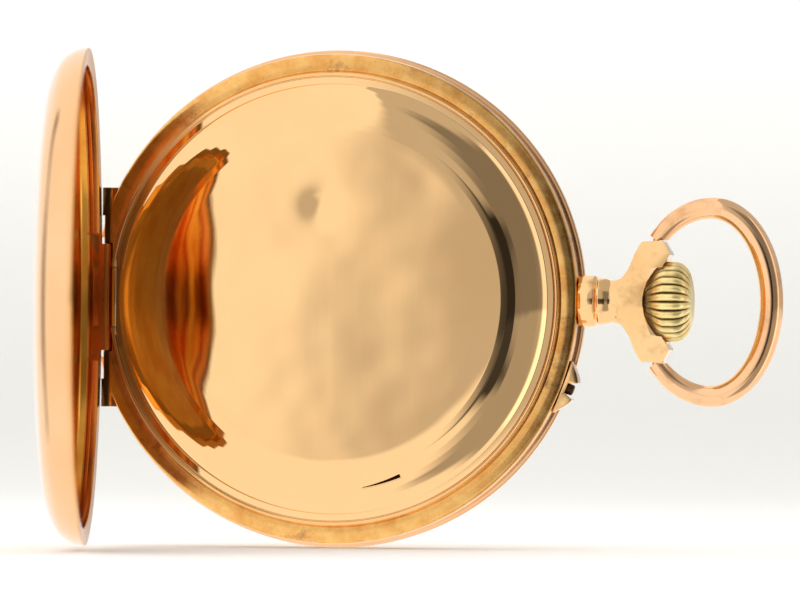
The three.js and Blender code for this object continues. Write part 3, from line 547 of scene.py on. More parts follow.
def crown_brass(name):
    """Bare brass of the crown, with painted light: the flutes' tops painted bright as a highlight, the grooves
    between them painted dark brown as shade, with some grime.
    """
    n = Nodes(name)
    y = n.math("SUBTRACT", n.axis(1), STEM_Y * MM)
    turn = n.math("MULTIPLY", n.math("ARCTAN2", n.axis(2), y), FLUTES / 2)
    tops = n.ramp(n.math("ABSOLUTE", n.math("SINE", turn)), 0.1, 0.6)
    radius = n.math("SQRT", n.math("ADD", n.math("MULTIPLY", y, y), n.math("MULTIPLY", n.axis(2), n.axis(2))))
    tops = n.math("MAXIMUM", tops, n.ramp(radius, 2.9 * MM, 2.2 * MM))
    # painted highlight on the flutes' tops and painted shade in the grooves; the noise adds grime and uneven tone
    grime = n.ramp(n.noise(500, 6, 0.7), 0.4, 0.65)
    groove_shade_and_grime = n.mix(grime, rgb(96, 64, 26), rgb(150, 112, 56))
    color = n.mix(tops, groove_shade_and_grime, n.mix(grime, rgb(255, 236, 168), rgb(238, 206, 134)))
    n.bump(n.noise(1500, 4), 0.00001)
    return n.finish(color, n.ramp(tops, 0, 1, 0.5, 0.3), 0.8)


def plain_metal(name, light, dark, roughness, lines=(1, 1, 1), scale=600, bump=0.00002):
    """A metal with a fine grain, drawn out along the axes whose stretch is small."""
    n = Nodes(name)
    color = n.mix(n.ramp(n.noise(140, 5), 0.3, 0.7), light, dark)
    grain = n.noise(scale, 4, stretch=lines)
    n.bump(grain, bump)
    return n.finish(color, n.ramp(grain, 0.3, 0.7, roughness * 0.7, roughness * 1.4))


def striped_nickel(name):
    """Nickelled plate with broad parallel stripes, as polished bridges carry."""
    n = Nodes(name)
    across = n.math("ADD", n.math("MULTIPLY", n.axis(0), 0.8), n.math("MULTIPLY", n.axis(2), 0.6))
    phase = n.math("FRACT", n.math("MULTIPLY", across, 1 / (1.6 * MM)))
    stripe = n.math("ABSOLUTE", n.math("SUBTRACT", phase, 0.5))
    grain = n.noise(2200, 3, stretch=(1, 1, 0.1))
    color = n.mix(n.ramp(stripe, 0.0, 0.5), rgb(208, 202, 190), rgb(176, 170, 158))
    height = n.math("ADD", n.math("MULTIPLY", stripe, 0.4), n.math("MULTIPLY", grain, 0.25))
    n.bump(height, 0.00008)
    return n.finish(color, n.ramp(grain, 0.3, 0.7, 0.18, 0.34))


def enamel_white(name):
    """Fired enamel under a thin gloss."""
    n = Nodes(name)
    color = n.mix(n.ramp(n.noise(60, 4), 0.35, 0.7), rgb(247, 244, 236), rgb(240, 236, 225))
    n.bump(n.noise(300, 3), 0.00001)
    n.shader.inputs["Coat Weight"].default_value = 0.5
    return n.finish(color, n.ramp(n.noise(500, 3), 0.3, 0.7, 0.12, 0.2), 0.0)


def clear_glass(name):
    """Clear glass with a few faint scuffs."""
    n = Nodes(name)
    n.shader.inputs["Transmission Weight"].default_value = 1.0
    n.shader.inputs["IOR"].default_value = 1.5
    n.bump(n.noise(400, 3), 0.000003)
    return n.finish(rgb(250, 252, 252), n.ramp(n.noise(700, 4), 0.4, 0.8, 0.0, 0.04), 0.0)


ROSE = gold("rose_gold", rgb(244, 196, 150), rgb(236, 180, 130), 0.07)
# the last two colours are the bowl's painted shade
LID = lid_gold("lid_gold", rgb(248, 202, 154), rgb(242, 190, 140), rgb(238, 170, 74), rgb(222, 142, 50))
YELLOW = gold("yellow_gold", rgb(251, 207, 150), rgb(247, 200, 142), 0.04)
MIRROR = dust_cover_gold("dust_cover_gold", rgb(251, 207, 150), rgb(247, 200, 142))
SEAT = seat_gold("seat_gold", rgb(250, 206, 146), rgb(238, 184, 118), rgb(134, 88, 72))
PENDANT = gold("pendant_gold", rgb(252, 214, 160), rgb(240, 190, 128), 0.1, rgb(150, 96, 44))
BOW_GOLD = gold("bow_gold", rgb(250, 204, 158), rgb(240, 186, 136), 0.1, rgb(176, 116, 70))
BRASS = crown_brass("crown_brass")
GILT = plain_metal("gilt_wheels", rgb(232, 198, 122), rgb(210, 170, 92), 0.22, (1, 0.2, 1))
NICKEL = striped_nickel("striped_nickel")
PLATE = plain_metal("frosted_plate", rgb(206, 198, 182), rgb(186, 176, 158), 0.4, scale=1800, bump=0.00006)
STEEL = plain_metal("polished_steel", rgb(196, 198, 202), rgb(160, 163, 168), 0.16, (1, 0.15, 0.15))
GRIMY = plain_metal("grimy_steel", rgb(96, 74, 52), rgb(52, 38, 28), 0.4)
BLUED = plain_metal("blued_steel", rgb(44, 62, 128), rgb(28, 36, 84), 0.2)
ENAMEL = enamel_white("fired_enamel")
INK = plain_metal("dial_ink", rgb(24, 22, 24), rgb(12, 12, 14), 0.5)
INK.node_tree.nodes["Principled BSDF"].inputs["Metallic"].default_value = 0
GLASS = clear_glass("crystal_glass")


# ---------------------------------------------------------------- case
def hinge_bore(x, y, radius=PIN_BORE_R, half=7):
    return rod_z("bore", radius, x, y, -half, half, edge=0)


def across_hinge(name, x_range, y_range, half):
    """A block that reaches equally far to both sides along a hinge."""
    return block(name, (x_range[0], y_range[0], -half), (x_range[1], y_range[1], half))


def case_ears():
    """The case's own knuckles at both ends of the cover hinges and of the dust cover's hinge."""
    ears = []
    for side in (-1, 1):
        z_low, z_high = sorted((side * (LEAF_HALF + KNUCKLE_GAP), side * HINGE_HALF))
        for y in (BACK_HINGE_Y, FRONT_HINGE_Y):
            ears.append(rod_z("ear", 0.55, HINGE_X, y, z_low, z_high))
        ears.append(block("ear_block", (HINGE_X - 0.05, BACK_HINGE_Y, z_low), (-BORE_R, FRONT_HINGE_Y, z_high)))
        z_low, z_high = sorted((side * (DUST_KNUCKLE + KNUCKLE_GAP), side * DUST_HALF))
        ears.append(rod_z("dust_ear", 0.3, DUST_HINGE_X, DUST_HINGE_Y, z_low, z_high))
    return ears


def case_middle():
    ring = revolve("case_middle_fine", [
        (BORE_R, -5.0), (22.3, -5.0), (22.3, -4.55, 0.1), (RIDGE_R, -4.55, 0.1), (RIDGE_R, FRONT_SEAT_Y + 0.02),
        (24.45, FRONT_SEAT_Y, 0.08), (24.6, -6.2, 0.6), (24.6, -8.0, 0.6), (24.52, BACK_SEAT_Y + 0.06, 0.25),
        (24.2, BACK_SEAT_Y - 0.02, 2), (23.5, BACK_SEAT_Y - 0.1, 3), (22.95, BACK_SEAT_Y - 0.1, 0.4),
        (RIDGE_R, BACK_SEAT_Y - 0.04, 0.05), (RIDGE_R, -9.75, 0.14), (22.35, -9.75, 0.14), (22.35, -9.2),
        (BORE_R, -9.2),
    ], AROUND)
    join(ring, *case_ears())
    pocket_x = (HINGE_X - 1.7, HINGE_X + 0.6)
    pocket_half = LEAF_HALF + KNUCKLE_GAP
    cut(
        ring,
        across_hinge("flat", (HINGE_X - 1.85, HINGE_X - 0.25), (-9.7, -4.7), 8.2),
        across_hinge("back_pocket", pocket_x, (-10.3, -7.7), pocket_half),
        across_hinge("front_pocket", pocket_x, (-6.45, -3.85), pocket_half),
        across_hinge("dust_pocket", (-22.7, -21.5), (-10.15, -8.75), DUST_KNUCKLE + KNUCKLE_GAP),
        across_hinge("ridge_gap", (-23.7, -22.5), (-10.85, -9.45), 6.2),
        hinge_bore(HINGE_X, BACK_HINGE_Y, half=12),
        hinge_bore(HINGE_X, FRONT_HINGE_Y, half=12),
        hinge_bore(DUST_HINGE_X, DUST_HINGE_Y, DUST_BORE_R),
        rod_on_stem("stem_hole", 1.48, 20, 26),
        turned_about(rod_on_stem("pin_hole", PIN_HOLE_R, 20, 26), SET_PIN_ANGLE),
    )
    return place(smooth(ring), "case", "yellow_gold", "case_middle", material=SEAT)


def turned_about(piece, degrees):
    """Turns a piece drawn along +X about the case axis."""
    piece.data.transform(Matrix.Rotation(-math.radians(degrees), 4, "Y"))
    return piece


def cover_leaf(hinge_y, rim_y):
    """A cover's hinge knuckle and the leaf that runs from it up to the rim."""
    side = 1 if rim_y > hinge_y else -1
    y_low, y_high = sorted((hinge_y, rim_y + side * 0.3))
    return [
        across_hinge("leaf", (HINGE_X - 0.45, HINGE_X + 0.45), (y_low, y_high), LEAF_HALF),
        rod_z("knuckle", 0.47, HINGE_X, hinge_y, -LEAF_HALF, LEAF_HALF),
    ]


def finish_cover(shell, hinge_y, rim_y):
    """Gives a cover its hinge, and trims its edge straight behind the hinge."""
    join(shell, *cover_leaf(hinge_y, rim_y))
    flat_y = (min(hinge_y, rim_y) - 6, max(hinge_y, rim_y) + 6)
    flat = across_hinge("flat", (HINGE_X - 2.85, HINGE_X - 0.85), flat_y, 6)
    return cut(shell, hinge_bore(HINGE_X, hinge_y), flat)


def back_cover():
    rim = BACK_SEAT_Y - SEAT_GAP
    top = -CLOSED_DEPTH
    shell = revolve("back_cover_fine", [
        (0, top), (6, top + 0.01), (12, top + 0.06, 30), (18, top + 0.36, 30), (21.8, top + 1.0, 30),
        (23.7, top + 2.1, 30), (24.45, top + 3.5, 30), (SEAT_R, rim, 0.12), (22.8, rim - SEAT_SLOPE, 0.12),
        (22.8, -9.75, 0.1), (23.5, -10.15, 0.3), (23.25, top + 2.4, 30), (21.4, top + 1.35, 30),
        (17.8, top + 0.85, 30), (12, top + 0.56, 30), (6, top + 0.51), (0, top + 0.5),
    ], AROUND, steps=8)
    finish_cover(shell, BACK_HINGE_Y, rim)
    cut(shell, across_hinge("relief", (-22.6, -21), (-10.4, -8.8), 6.4))
    smooth(shell)
    hinge = Matrix.Translation((HINGE_X * MM, BACK_HINGE_Y * MM, 0))
    shell.data.transform(hinge @ Matrix.Rotation(-BACK_OPEN, 4, "Z") @ hinge.inverted())
    return place(shell, "back_cover", "rose_gold", "back_cover", material=LID)


def front_cover():
    rim = FRONT_SEAT_Y + SEAT_GAP
    shell = revolve("front_cover_fine", [
        (0, 0), (6, 0), (12, -0.02, 2), (18, -0.3, 30), (22, -1.0, 30), (24.1, -2.2, 30), (24.85, -3.5, 30),
        (CASE_R, -4.5, 2), (CASE_R, rim, 0.15), (22.8, rim, 0.12), (22.8, -4.4, 0.1), (24, -3.9, 0.3),
        (23.5, -2.5, 30), (21.6, -1.45, 30), (18, -0.8, 30), (12, -0.5, 5), (6, -0.5), (0, -0.5),
    ], AROUND, steps=8)
    finish_cover(shell, FRONT_HINGE_Y, rim)
    cut(shell, rod_on_stem("notch", 2.85, 21.5, 27))
    return place(smooth(shell), "front_cover", "rose_gold", "front_cover", material=ROSE)


# each dent's place (x, z), reach and depth
DENTS = ((-1.2, 9.2, 1.5, 0.07), (-2.4, 18.6, 0.7, 0.03), (4.5, -6.5, 2.2, 0.012), (-8.5, 2.0, 3.0, 0.012),
         (9.5, 11.0, 2.5, 0.012))


def knocked(x, z):
    """How far the thin dust cover is pushed in or out of true at (x, z), in millimetres."""
    push = 0.03 * noise.noise(Vector((x / 9, 0.3, z / 9))) + 0.006 * noise.noise(Vector((x / 3, 1.7, z / 3)))
    for dent_x, dent_z, radius, depth in DENTS:
        away = math.hypot(x - dent_x, z - dent_z) / radius
        push += depth * math.exp(-away * away)
    return push


def nail_slit():
    """A tool for the slit a fingernail opens the dust cover by: an arc that widens to one end."""
    steps = 12
    span = [SLIT_SPAN[0] + k * (SLIT_SPAN[1] - SLIT_SPAN[0]) / steps for k in range(steps + 1)]
    wedge = [polar(19.16, a) for a in span]
    wedge += [polar(19.1 - 0.026 * k, span[k]) for k in range(steps, -1, -1)]
    return slab("nail_slit", wedge, -11.6, -10.75)


def dust_cover():
    disc = [(k / 2, DISC_Y + DISC_RISE * (k / 2 / DISC_R) ** 2) for k in range(34)]
    inside = [(r, y + DUST_WALL) for r, y in disc]
    outline = [
        *disc, (17.1, -11.42, 2), (17.8, -11.35, 3), (18.5, -11.2, 3), (19.2, -11.0, 3), (19.9, -10.76, 3),
        (20.6, -10.4, 3), (21.2, -9.98, 2), (21.6, -9.6, 0.12), (22.25, -9.6, 0.08), (22.25, -9.3, 0.08),
        (21.4, -9.3, 0.1), (20.9, -9.95, 0.6), (20.1, -10.3, 0.6), (19, -10.6, 0.4), *reversed(inside),
    ]
    cover = revolve("dust_cover_fine", outline, AROUND, steps=8)
    for vertex in cover.data.vertices:
        x, z = vertex.co.x / MM, vertex.co.z / MM
        fade = min(1, max(0, (19 - math.hypot(x, z)) / 4))
        vertex.co.y += knocked(x, z) * fade * MM
    join(
        cover,
        across_hinge("leaf", (DUST_HINGE_X, DUST_HINGE_X + 0.5), (-9.55, -9.2), 3),
        rod_z("knuckle", 0.3, DUST_HINGE_X, DUST_HINGE_Y, -DUST_KNUCKLE, DUST_KNUCKLE),
    )
    cut(
        cover,
        block("edge", (-23.6, -11.1, 3), (-21.6, -8.1, 6.3)),
        block("edge", (-23.6, -11.1, -6.3), (-21.6, -8.1, -3)),
        hinge_bore(DUST_HINGE_X, DUST_HINGE_Y, DUST_BORE_R),
        nail_slit(),
    )
    return place(smooth(cover, 28), "dust_cover", "yellow_gold", "dust_cover", material=MIRROR)


def hinge_pins():
    for name, x, y, radius in (
        ("back_hinge_pin", HINGE_X, BACK_HINGE_Y, 0.25),
        ("front_hinge_pin", HINGE_X, FRONT_HINGE_Y, 0.25),
        ("dust_hinge_pin", DUST_HINGE_X, DUST_HINGE_Y, 0.12),
    ):
        half = high(name).z
        pin = rod_z(name + "_fine", radius, x, y, -half, half, edge=0.08)
        place(smooth(pin), "case", "steel", name, material=GRIMY)


def bezel_and_crystal():
    bezel = revolve("bezel_fine", [
        (20.5, -4.2, 0.05), (21.4, -4.2, 0.05), (21.65, -4.95), (22.25, -4.95), (22.25, -3.5, 0.3),
        (21.5, -2.6, 0.3), (21.05, -2.6, 0.08), (21.05, -3.6), (20.5, -3.6, 0.05),
    ], 192)
    place(smooth(bezel), "case", "yellow_gold", "bezel", material=YELLOW)
    crystal = revolve("crystal_fine", [
        (0, -1.6), (9, -1.75, 30), (16, -2.2, 30), (20.9, -2.95, 0.1), (20.9, -3.5, 0.1), (16, -2.9, 30),
        (9, -2.35, 30), (0, -2.2),
    ], 192)
    place(smooth(crystal), "case", "crystal", "crystal", material=GLASS)


# ---------------------------------------------------------------- pendant, crown and bow
def pendant():
    """A turned neck and a boat-shaped head, with ears for the bow and a hollow for the crown."""
    neck = turned_on_stem("pendant_fine", [
        (0.9, 22.9), (1.45, 22.9), (1.45, CASE_WALL_R), (2.42, CASE_WALL_R, 0.05), (2.6, 24.95, 0.3), (2.62, 25.6, 1),
        (2.58, 26.15, 0.2), (2.28, 26.42, 0.1), (2.38, 26.62, 0.15), (2.3, 27.2, 2), (2.12, 27.8, 1),
        (2.2, 28.3, 0.6), (2.4, 28.9, 0.6), (2.5, 29.4, 0.6), (2.6, 30.3), (0.9, 30.3),
    ], 128)
    corners = [(28.6, 2.1, 0), (29.1, 2.35, 1), (29.8, 3.4, 3), (30.35, 4.9, 3), (30.95, 6.0, 0.35),
               (33.1, 6.12, 0.4), (33.85, 4.75, 0.3), (33.1, 3.5, 0.2)]
    outline = fillet(corners + [(x, -z, r) for x, z, r in reversed(corners)], 6)
    head = slab("head", outline, STEM_Y - HEAD_HALF, STEM_Y + HEAD_HALF)
    sliced(head, [k * 0.6 for k in range(-10, 11)])
    for vertex in head.data.vertices:
        outward = vertex.co.z / (EAR_Z * MM)
        vertex.co.y = STEM_Y * MM + (vertex.co.y - STEM_Y * MM) * (1 - HEAD_TAPER * outward * outward)
    bevel(head, 0.8, 6)
    join(neck, head)
    hollow = turned_on_stem("hollow", [
        (0, 30.2), (1.4, 30.4, 1), (2.4, 30.9, 1), (3.1, 31.35, 1), (3.6, 31.7, 1), (4.15, 32.0, 0.3), (4.25, 33, 1),
        (4.25, 37), (0, 37),
    ])
    bores = [rod_on_stem("bore", 0.85, 22, 31), rod_on_stem("bore", 1.5, 24.9, 31)]
    cut(neck, hollow, *bores, hinge_bore(BOW_X, STEM_Y, 0.48))
    return place(smooth(neck), "case", "yellow_gold", "pendant", material=PENDANT)


def bow_path(steps=96):
    """The bow's centre line as (x from its pivots, z): half ellipses from one eye round to the other."""
    start = math.asin(BOW_TRIM_Z / BOW_HALF_WIDTH)
    path = []
    for k in range(steps + 1):
        turn = math.pi + start + 2 * k / steps * (math.pi - start)
        reach = BOW_INNER_REACH if math.cos(turn) < 0 else BOW_OUTER_REACH
        path.append(Vector((BOW_MIDDLE + reach * math.cos(turn), -BOW_HALF_WIDTH * math.sin(turn))))
    return path


def bow():
    """A drawn wire loop, thickest in the middle and drawn down to its two eyes."""
    path = bow_path()
    verts, faces, ring = [], [], 32
    count = len(path)
    for i, point in enumerate(path):
        ahead = (path[min(i + 1, count - 1)] - path[max(i - 1, 0)]).normalized()
        across = Vector((ahead.y, -ahead.x))
        middle = math.sin(math.pi * i / (count - 1))
        radius = 0.88 + 0.3 * middle ** 0.7
        for k in range(ring):
            a = 2 * math.pi * k / ring
            flat = point + across * radius * math.cos(a)
            verts.append((BOW_X + flat.x, STEM_Y + radius * math.sin(a), flat.y))
    for i in range(count - 1):
        for k in range(ring):
            n = (k + 1) % ring
            faces.append((i * ring + k, i * ring + n, (i + 1) * ring + n, (i + 1) * ring + k))
    faces += [tuple(range(ring)), tuple((count - 1) * ring + k for k in range(ring))]
    loop = mesh_from("bow_fine", verts, faces)
    cut(
        loop,
        across_hinge("inside", (BOW_X - 3, BOW_X + 4), (STEM_Y - 3, STEM_Y + 3), BOW_TRIM_Z),
        hinge_bore(BOW_X, STEM_Y, 0.42, 11),
    )
    return place(smooth(loop, 40), "bow", "rose_gold", "bow", material=BOW_GOLD)


def bow_screws():
    for name in ("bow_screw_top", "bow_screw_bottom"):
        ends = low(name).z, high(name).z
        screw = rod_z(name + "_fine", 0.38, BOW_X, STEM_Y, *ends, edge=0.1)
        tip = max(ends, key=abs)
        cut(screw, block("slot", (BOW_X - 1, STEM_Y - 0.07, tip - 0.12), (BOW_X + 1, STEM_Y + 0.07, tip + 0.12)))
        place(smooth(screw), "case", "rose_gold", name, material=BOW_GOLD)


def crown():
    """A winding crown with rounded flutes that run out over its two domed ends."""
    per_flute = 12
    around = FLUTES * per_flute
    rows = [(0.0, 30.95), (0.8, 31.0), (1.5, 31.15), (2.1, 31.4), (2.7, 31.76), (3.2, 32.12), (3.55, 32.42),
            (3.82, 32.78)]
    rows += [(4.0, 33.2 + k / 5) for k in range(6)]
    rows += [(3.96, 34.5), (3.86, 34.8), (3.68, 35.1), (3.38, 35.4), (2.95, 35.66), (2.3, 35.87), (1.4, 36.02),
             (0.0, 36.08)]
    verts, faces = [], []
    for r, x in rows:
        smooth_to, fade = (1.4, 1.8) if x < 33 else (1.9, 1.9)
        taper = min(1, max(0, (r - smooth_to) / fade))
        for k in range(around):
            a = 2 * math.pi * k / around
            wave = abs(math.sin(math.pi * k / per_flute))
            reach = r - 0.42 * taper * (1 - wave ** 0.7)
            verts.append((x, STEM_Y + reach * math.cos(a), reach * math.sin(a)))
    for i in range(len(rows) - 1):
        for k in range(around):
            n = (k + 1) % around
            quad = [i * around + k, i * around + n, (i + 1) * around + n, (i + 1) * around + k]
            if rows[i][0] == 0:
                quad = [i * around, quad[2], quad[3]]
            elif rows[i + 1][0] == 0:
                quad = [quad[0], quad[1], (i + 1) * around]
            faces.append(quad)
    body = mesh_from("crown_fine", verts, faces)
    cut(body, rod_on_stem("bore", 0.6, 30, 34.4))
    return place(smooth(body, 50), "crown", "old_brass", "crown", material=BRASS)


def pin_guard():
    """The cheeks beside the hand-setting pin: a low ramped block with a notch for the fingernail."""
    half = [(CASE_WALL_R, 2.75, 0), (24.95, 2.3, 0.3), (25.45, 1.75, 0.6), (25.78, 1.25, 0.2), (25.95, 0.85, 0.12),
            (25.1, 0.6, 0.1), (CASE_WALL_R, 0.6, 0)]
    y_range = (STEM_Y - GUARD_HALF, STEM_Y + GUARD_HALF)
    cheeks = [slab("pin_guard_fine", fillet([(x, side * z, r) for x, z, r in half], 4), *y_range) for side in (1, -1)]
    guard = join(cheeks[0], across_hinge("floor", (CASE_WALL_R, 25.0), y_range, 0.9), cheeks[1])
    bevel(guard, 0.12, 3)
    cut(guard, rod_on_stem("pin_hole", PIN_HOLE_R, 20, 27))
    turned_about(guard, SET_PIN_ANGLE)
    return place(smooth(guard), "case", "yellow_gold", "pin_guard", material=PENDANT)


def set_pin():
    pin = turned_on_stem("set_pin_fine", [(0, 20.9), (0.55, 20.9, 0.1), (0.55, 25.7, 0.3), (0, 25.7)], 48)
    turned_about(pin, SET_PIN_ANGLE)
    return place(smooth(pin), "set_pin", "steel", "set_pin", material=GRIMY)


# ---------------------------------------------------------------- movement and dial, seen with the covers open
def dress_inner_nodes():
    """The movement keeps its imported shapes, with fine bevelled edges and its own metals."""
    looks = (
        (NICKEL, 0.08, ("barrel_bridge", "train_bridge", "balance_cock", "pallet_cock")),
        (PLATE, 0.05, ("main_plate",)),
        (GILT, 0.015, ("mainspring_barrel", "center_wheel", "third_wheel", "fourth_wheel", "balance_wheel",
                       "minute_wheel", "hour_wheel")),
        (STEEL, 0.02, ("crown_sleeve", "winding_stem", "winding_pinion", "sliding_pinion", "crown_wheel",
                       "crown_wheel_screw", "ratchet_wheel", "barrel_arbor", "click", "click_spring", "regulator",
                       "escape_wheel", "pallet_fork", "cannon_pinion", "lock_spring", "lift_spring", "mainspring")),
        (BLUED, 0.02, ("hour_hand", "minute_hand", "seconds_hand", "hairspring", "barrel_bridge_screw_1",
                       "barrel_bridge_screw_2", "train_bridge_screw_1", "train_bridge_screw_2",
                       "balance_cock_screw", "case_screw_1", "case_screw_2")),
        (ENAMEL, 0.04, ("dial",)),
    )
    for material, width, names in looks:
        for name in names:
            node = bpy.data.objects[name]
            node.data.materials.clear()
            node.data.materials.append(material)
            modifier = node.modifiers.new("edge", "BEVEL")
            modifier.width = width * MM
            modifier.segments = 2
            modifier.limit_method = "ANGLE"
            modifier.angle_limit = math.radians(40)


def dial_prints():
    """Minute track, hour numerals and the small seconds ring, raised a little off the dial."""
    top = DIAL_Y + 0.03
    half_raise = 0.025
    numeral_r = 16.2
    marks = []

    def mark(outline, holes=()):
        marks.append(slab("mark", outline, DIAL_Y - 0.02, top, holes))

    def track(centre, radius, width, length, every):
        """A ring with sixty strokes inward from it, where every so many of them are long and bold."""
        mark(circle(radius + width, centre, 180), [circle(radius, centre, 180)])
        for k in range(60):
            a = 2 * math.pi * k / 60
            bold = k % every == 0
            half = 0.12 if bold else 0.05
            near, far = radius - length * (1.5 if bold else 1), radius + width / 2
            ux, uz = math.cos(a), math.sin(a)
            mark([(centre[0] + ux * r - uz * s * half, centre[1] + uz * r + ux * s * half)
                  for r, s in ((near, -1), (far, -1), (far, 1), (near, 1))])

    track((0, 0), 19.6, 0.12, 0.55, 5)
    track(SECONDS_AT, 4.4, 0.08, 0.3, 10)
    for hour in (*range(1, 6), *range(7, 13)):
        curve = bpy.data.curves.new("numeral", "FONT")
        curve.body = str(hour)
        curve.size = 4.4 * MM
        curve.align_x = "CENTER"
        curve.align_y = "CENTER"
        curve.extrude = half_raise * MM
        mesh = mesh_of_curve(curve)
        a = math.radians(30 * hour)
        x, z = numeral_r * math.sin(a), -numeral_r * math.cos(a)
        y = top - half_raise
        mesh.transform(Matrix(((1, 0, 0, x * MM), (0, 0, 1, y * MM), (0, -1, 0, z * MM), (0, 0, 0, 1))))
        marks.append(new_object("numeral", mesh))
    select_only(*marks)
    bpy.ops.object.join()
    marks[0].name = "dial_prints"
    return place(marks[0], "case", "enamel", material=INK)


# ---------------------------------------------------------------- studio
def sweep():
    """A white floor that curves up into a backdrop, which can be seen through from behind; it is painted greyer low
    down and to the right as painted shade.
    """
    profile = [(-1600, 0), (260, 0)]
    profile += [(260 + 240 * math.sin(a), 240 - 240 * math.cos(a)) for a in
                (math.pi / 2 * k / 16 for k in range(1, 17))]
    profile += [(500, 1500)]
    verts, faces = [], []
    for y, z in profile:
        verts += [(-1500, y, FLOOR_Z + z), (1500, y, FLOOR_Z + z)]
    for i in range(len(profile) - 1):
        faces.append((2 * i, 2 * i + 1, 2 * i + 3, 2 * i + 2))
    paper = mesh_from("paper_sweep", verts, faces)
    if paper.data.polygons[0].normal.z < 0:
        paper.data.flip_normals()
    n = Nodes("white_paper")
    tone = n.mix(n.ramp(n.noise(6, 4), 0.3, 0.7), rgb(252, 251, 249), rgb(248, 247, 244))
    # painted shade: the paper is greyed low down where the floor bends into the backdrop, and greyed to the right
    painted_low_shade = n.math("MULTIPLY", n.ramp(n.axis(2), 40 * MM, -15 * MM), n.ramp(n.axis(1), 100 * MM, 400 * MM))
    tone = n.mix(painted_low_shade, tone, rgb(206, 206, 202))
    tone = n.mix(n.ramp(n.axis(0), 20 * MM, 80 * MM), tone, rgb(232, 232, 232))
    n.shader.inputs["Emission Strength"].default_value = 0.12
    n.link(tone, n.shader.inputs["Emission Color"])
    n.bump(n.noise(1500, 5), 0.00002)
    paper.data.materials.append(n.finish(tone, 0.9, 0.0))
    sides = n.add("ShaderNodeMixShader")
    n.link(n.add("ShaderNodeNewGeometry").outputs["Backfacing"], sides.inputs[0])
    n.link(n.shader.outputs[0], sides.inputs[1])
    n.link(n.add("ShaderNodeBsdfTransparent").outputs[0], sides.inputs[2])
    n.link(sides.outputs[0], n.tree.nodes["Material Output"].inputs["Surface"])
    paper.visible_glossy = False


def area_light(name, at, size, watts):
    """A soft box that points at the watch and isn't mirrored in it."""
    data = bpy.data.lights.new(name, "AREA")
    data.shape = "RECTANGLE"
    data.size, data.size_y = size[0] * MM, size[1] * MM
    data.energy = watts
    lamp = new_object(name, data)
    lamp.location = Vector(at) * MM
    lamp.visible_glossy = False
    lamp.rotation_euler = (-Vector(at)).to_track_quat("-Z", "Y").to_euler()


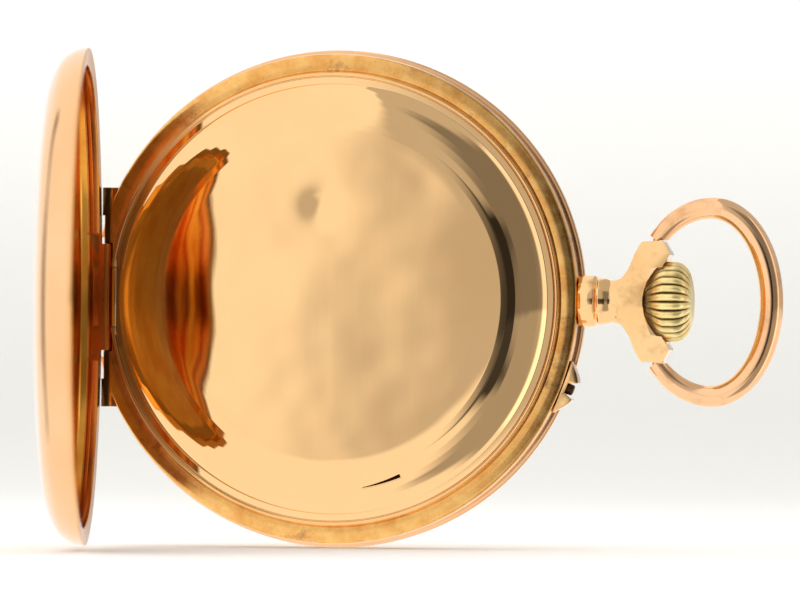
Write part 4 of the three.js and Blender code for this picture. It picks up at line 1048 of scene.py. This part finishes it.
def room():
    """The room as the gold mirrors it, with plain white where the camera looks straight at it.

    Directions are degrees of azimuth, from straight out of the watch's back and positive to the right, and
    degrees of height. The wall is bright to the left and greyer to the right, the floor is bright, and the
    camera on its stand is dark.
    """
    world = bpy.data.worlds.new("room")
    scene.world = world
    world.use_nodes = True
    tree = world.node_tree
    nodes, links = tree.nodes, tree.links
    split = nodes.new("ShaderNodeSeparateXYZ")
    links.new(nodes.new("ShaderNodeTexCoord").outputs["Generated"], split.inputs[0])

    def op(kind, a, b=0.0):
        node = nodes.new("ShaderNodeMath")
        node.operation = kind
        for value, socket in zip((a, b), node.inputs):
            if isinstance(value, (int, float)):
                socket.default_value = value
            else:
                links.new(value, socket)
        return node.outputs[0]

    def soft(value, low_at, high_at):
        node = nodes.new("ShaderNodeMapRange")
        node.interpolation_type = "SMOOTHSTEP"
        links.new(value, node.inputs["Value"])
        node.inputs["From Min"].default_value = low_at
        node.inputs["From Max"].default_value = high_at
        return node.outputs["Result"]

    x, y, z = split.outputs
    azimuth = op("MULTIPLY", op("ARCTAN2", x, op("MULTIPLY", y, -1.0)), 180 / math.pi)
    height = op("MULTIPLY", op("ARCSINE", z), 180 / math.pi)

    def near(value, middle, half, edge):
        away = op("ABSOLUTE", op("SUBTRACT", value, middle))
        return op("SUBTRACT", 1.0, soft(away, half - edge, half + edge))

    def patch(az, el, half_az, half_el, edge):
        return op("MULTIPLY", near(azimuth, az, half_az, edge), near(height, el, half_el, edge))

    def darkened(value, amount):
        return op("MULTIPLY", value, op("SUBTRACT", 1.0, amount))

    right_of_camera = op("ADD", azimuth, math.degrees(CAMERA_TURN))
    fade = soft(op("SUBTRACT", right_of_camera, op("MULTIPLY", height, 0.25)), -1.8, 1.8)
    above_floor = op("SUBTRACT", 1.0, soft(op("MULTIPLY", height, -1.0), 1.8, 3.6))
    level = op("SUBTRACT", 1.12, op("MULTIPLY", op("MULTIPLY", fade, above_floor), 0.5))
    dim_wall = op("MULTIPLY", patch(41, 0, 26, 50, 6), 0.6)
    stand = op("MULTIPLY", patch(12.5, -1, 10, 13, 3), 0.9)
    level = darkened(level, op("MINIMUM", op("ADD", dim_wall, stand), 0.95))
    door_edge = op("MULTIPLY", patch(-118, 10, 4, 30, 3), 0.85)
    level = darkened(level, door_edge)
    window = op("MULTIPLY", patch(80, 5, 7, 45, 4), 0.6)
    level = op("ADD", level, window)
    seen = nodes.new("ShaderNodeLightPath").outputs["Is Camera Ray"]
    level = op("ADD", darkened(level, seen), seen)
    background = nodes["Background"]
    background.inputs["Color"].default_value = (1.0, 0.985, 0.96, 1)
    links.new(level, background.inputs["Strength"])


def focus_point():
    """An empty just in front of the dust cover, which keeps the watch sharp from any side."""
    point = new_object("focus_point", None)
    point.location = (0, FOCUS_Y * MM, 0)
    return point


def camera():
    data = bpy.data.cameras.new("camera")
    data.lens = 493
    data.sensor_width = 36
    data.clip_end = 10
    data.dof.use_dof = True
    data.dof.focus_object = focus_point()
    data.dof.aperture_fstop = 34
    eye = new_object("camera", data)
    towards = Vector((math.sin(CAMERA_TURN), -math.cos(CAMERA_TURN), 0))
    eye.location = (AIM + towards * CAMERA_AWAY) * MM
    facing = (-towards).to_track_quat("-Z", "Y").to_matrix()
    eye.rotation_euler = (facing @ Matrix.Rotation(CAMERA_ROLL, 3, "Z")).to_euler()
    scene.camera = eye


case_middle()
back_cover()
front_cover()
dust_cover()
hinge_pins()
bezel_and_crystal()
pendant()
bow()
bow_screws()
crown()
pin_guard()
set_pin()
dress_inner_nodes()
dial_prints()
sweep()
room()
area_light("key", (-500, -900, 900), (700, 700), 2.2)
area_light("top", (100, -100, 900), (900, 600), 2)
camera()
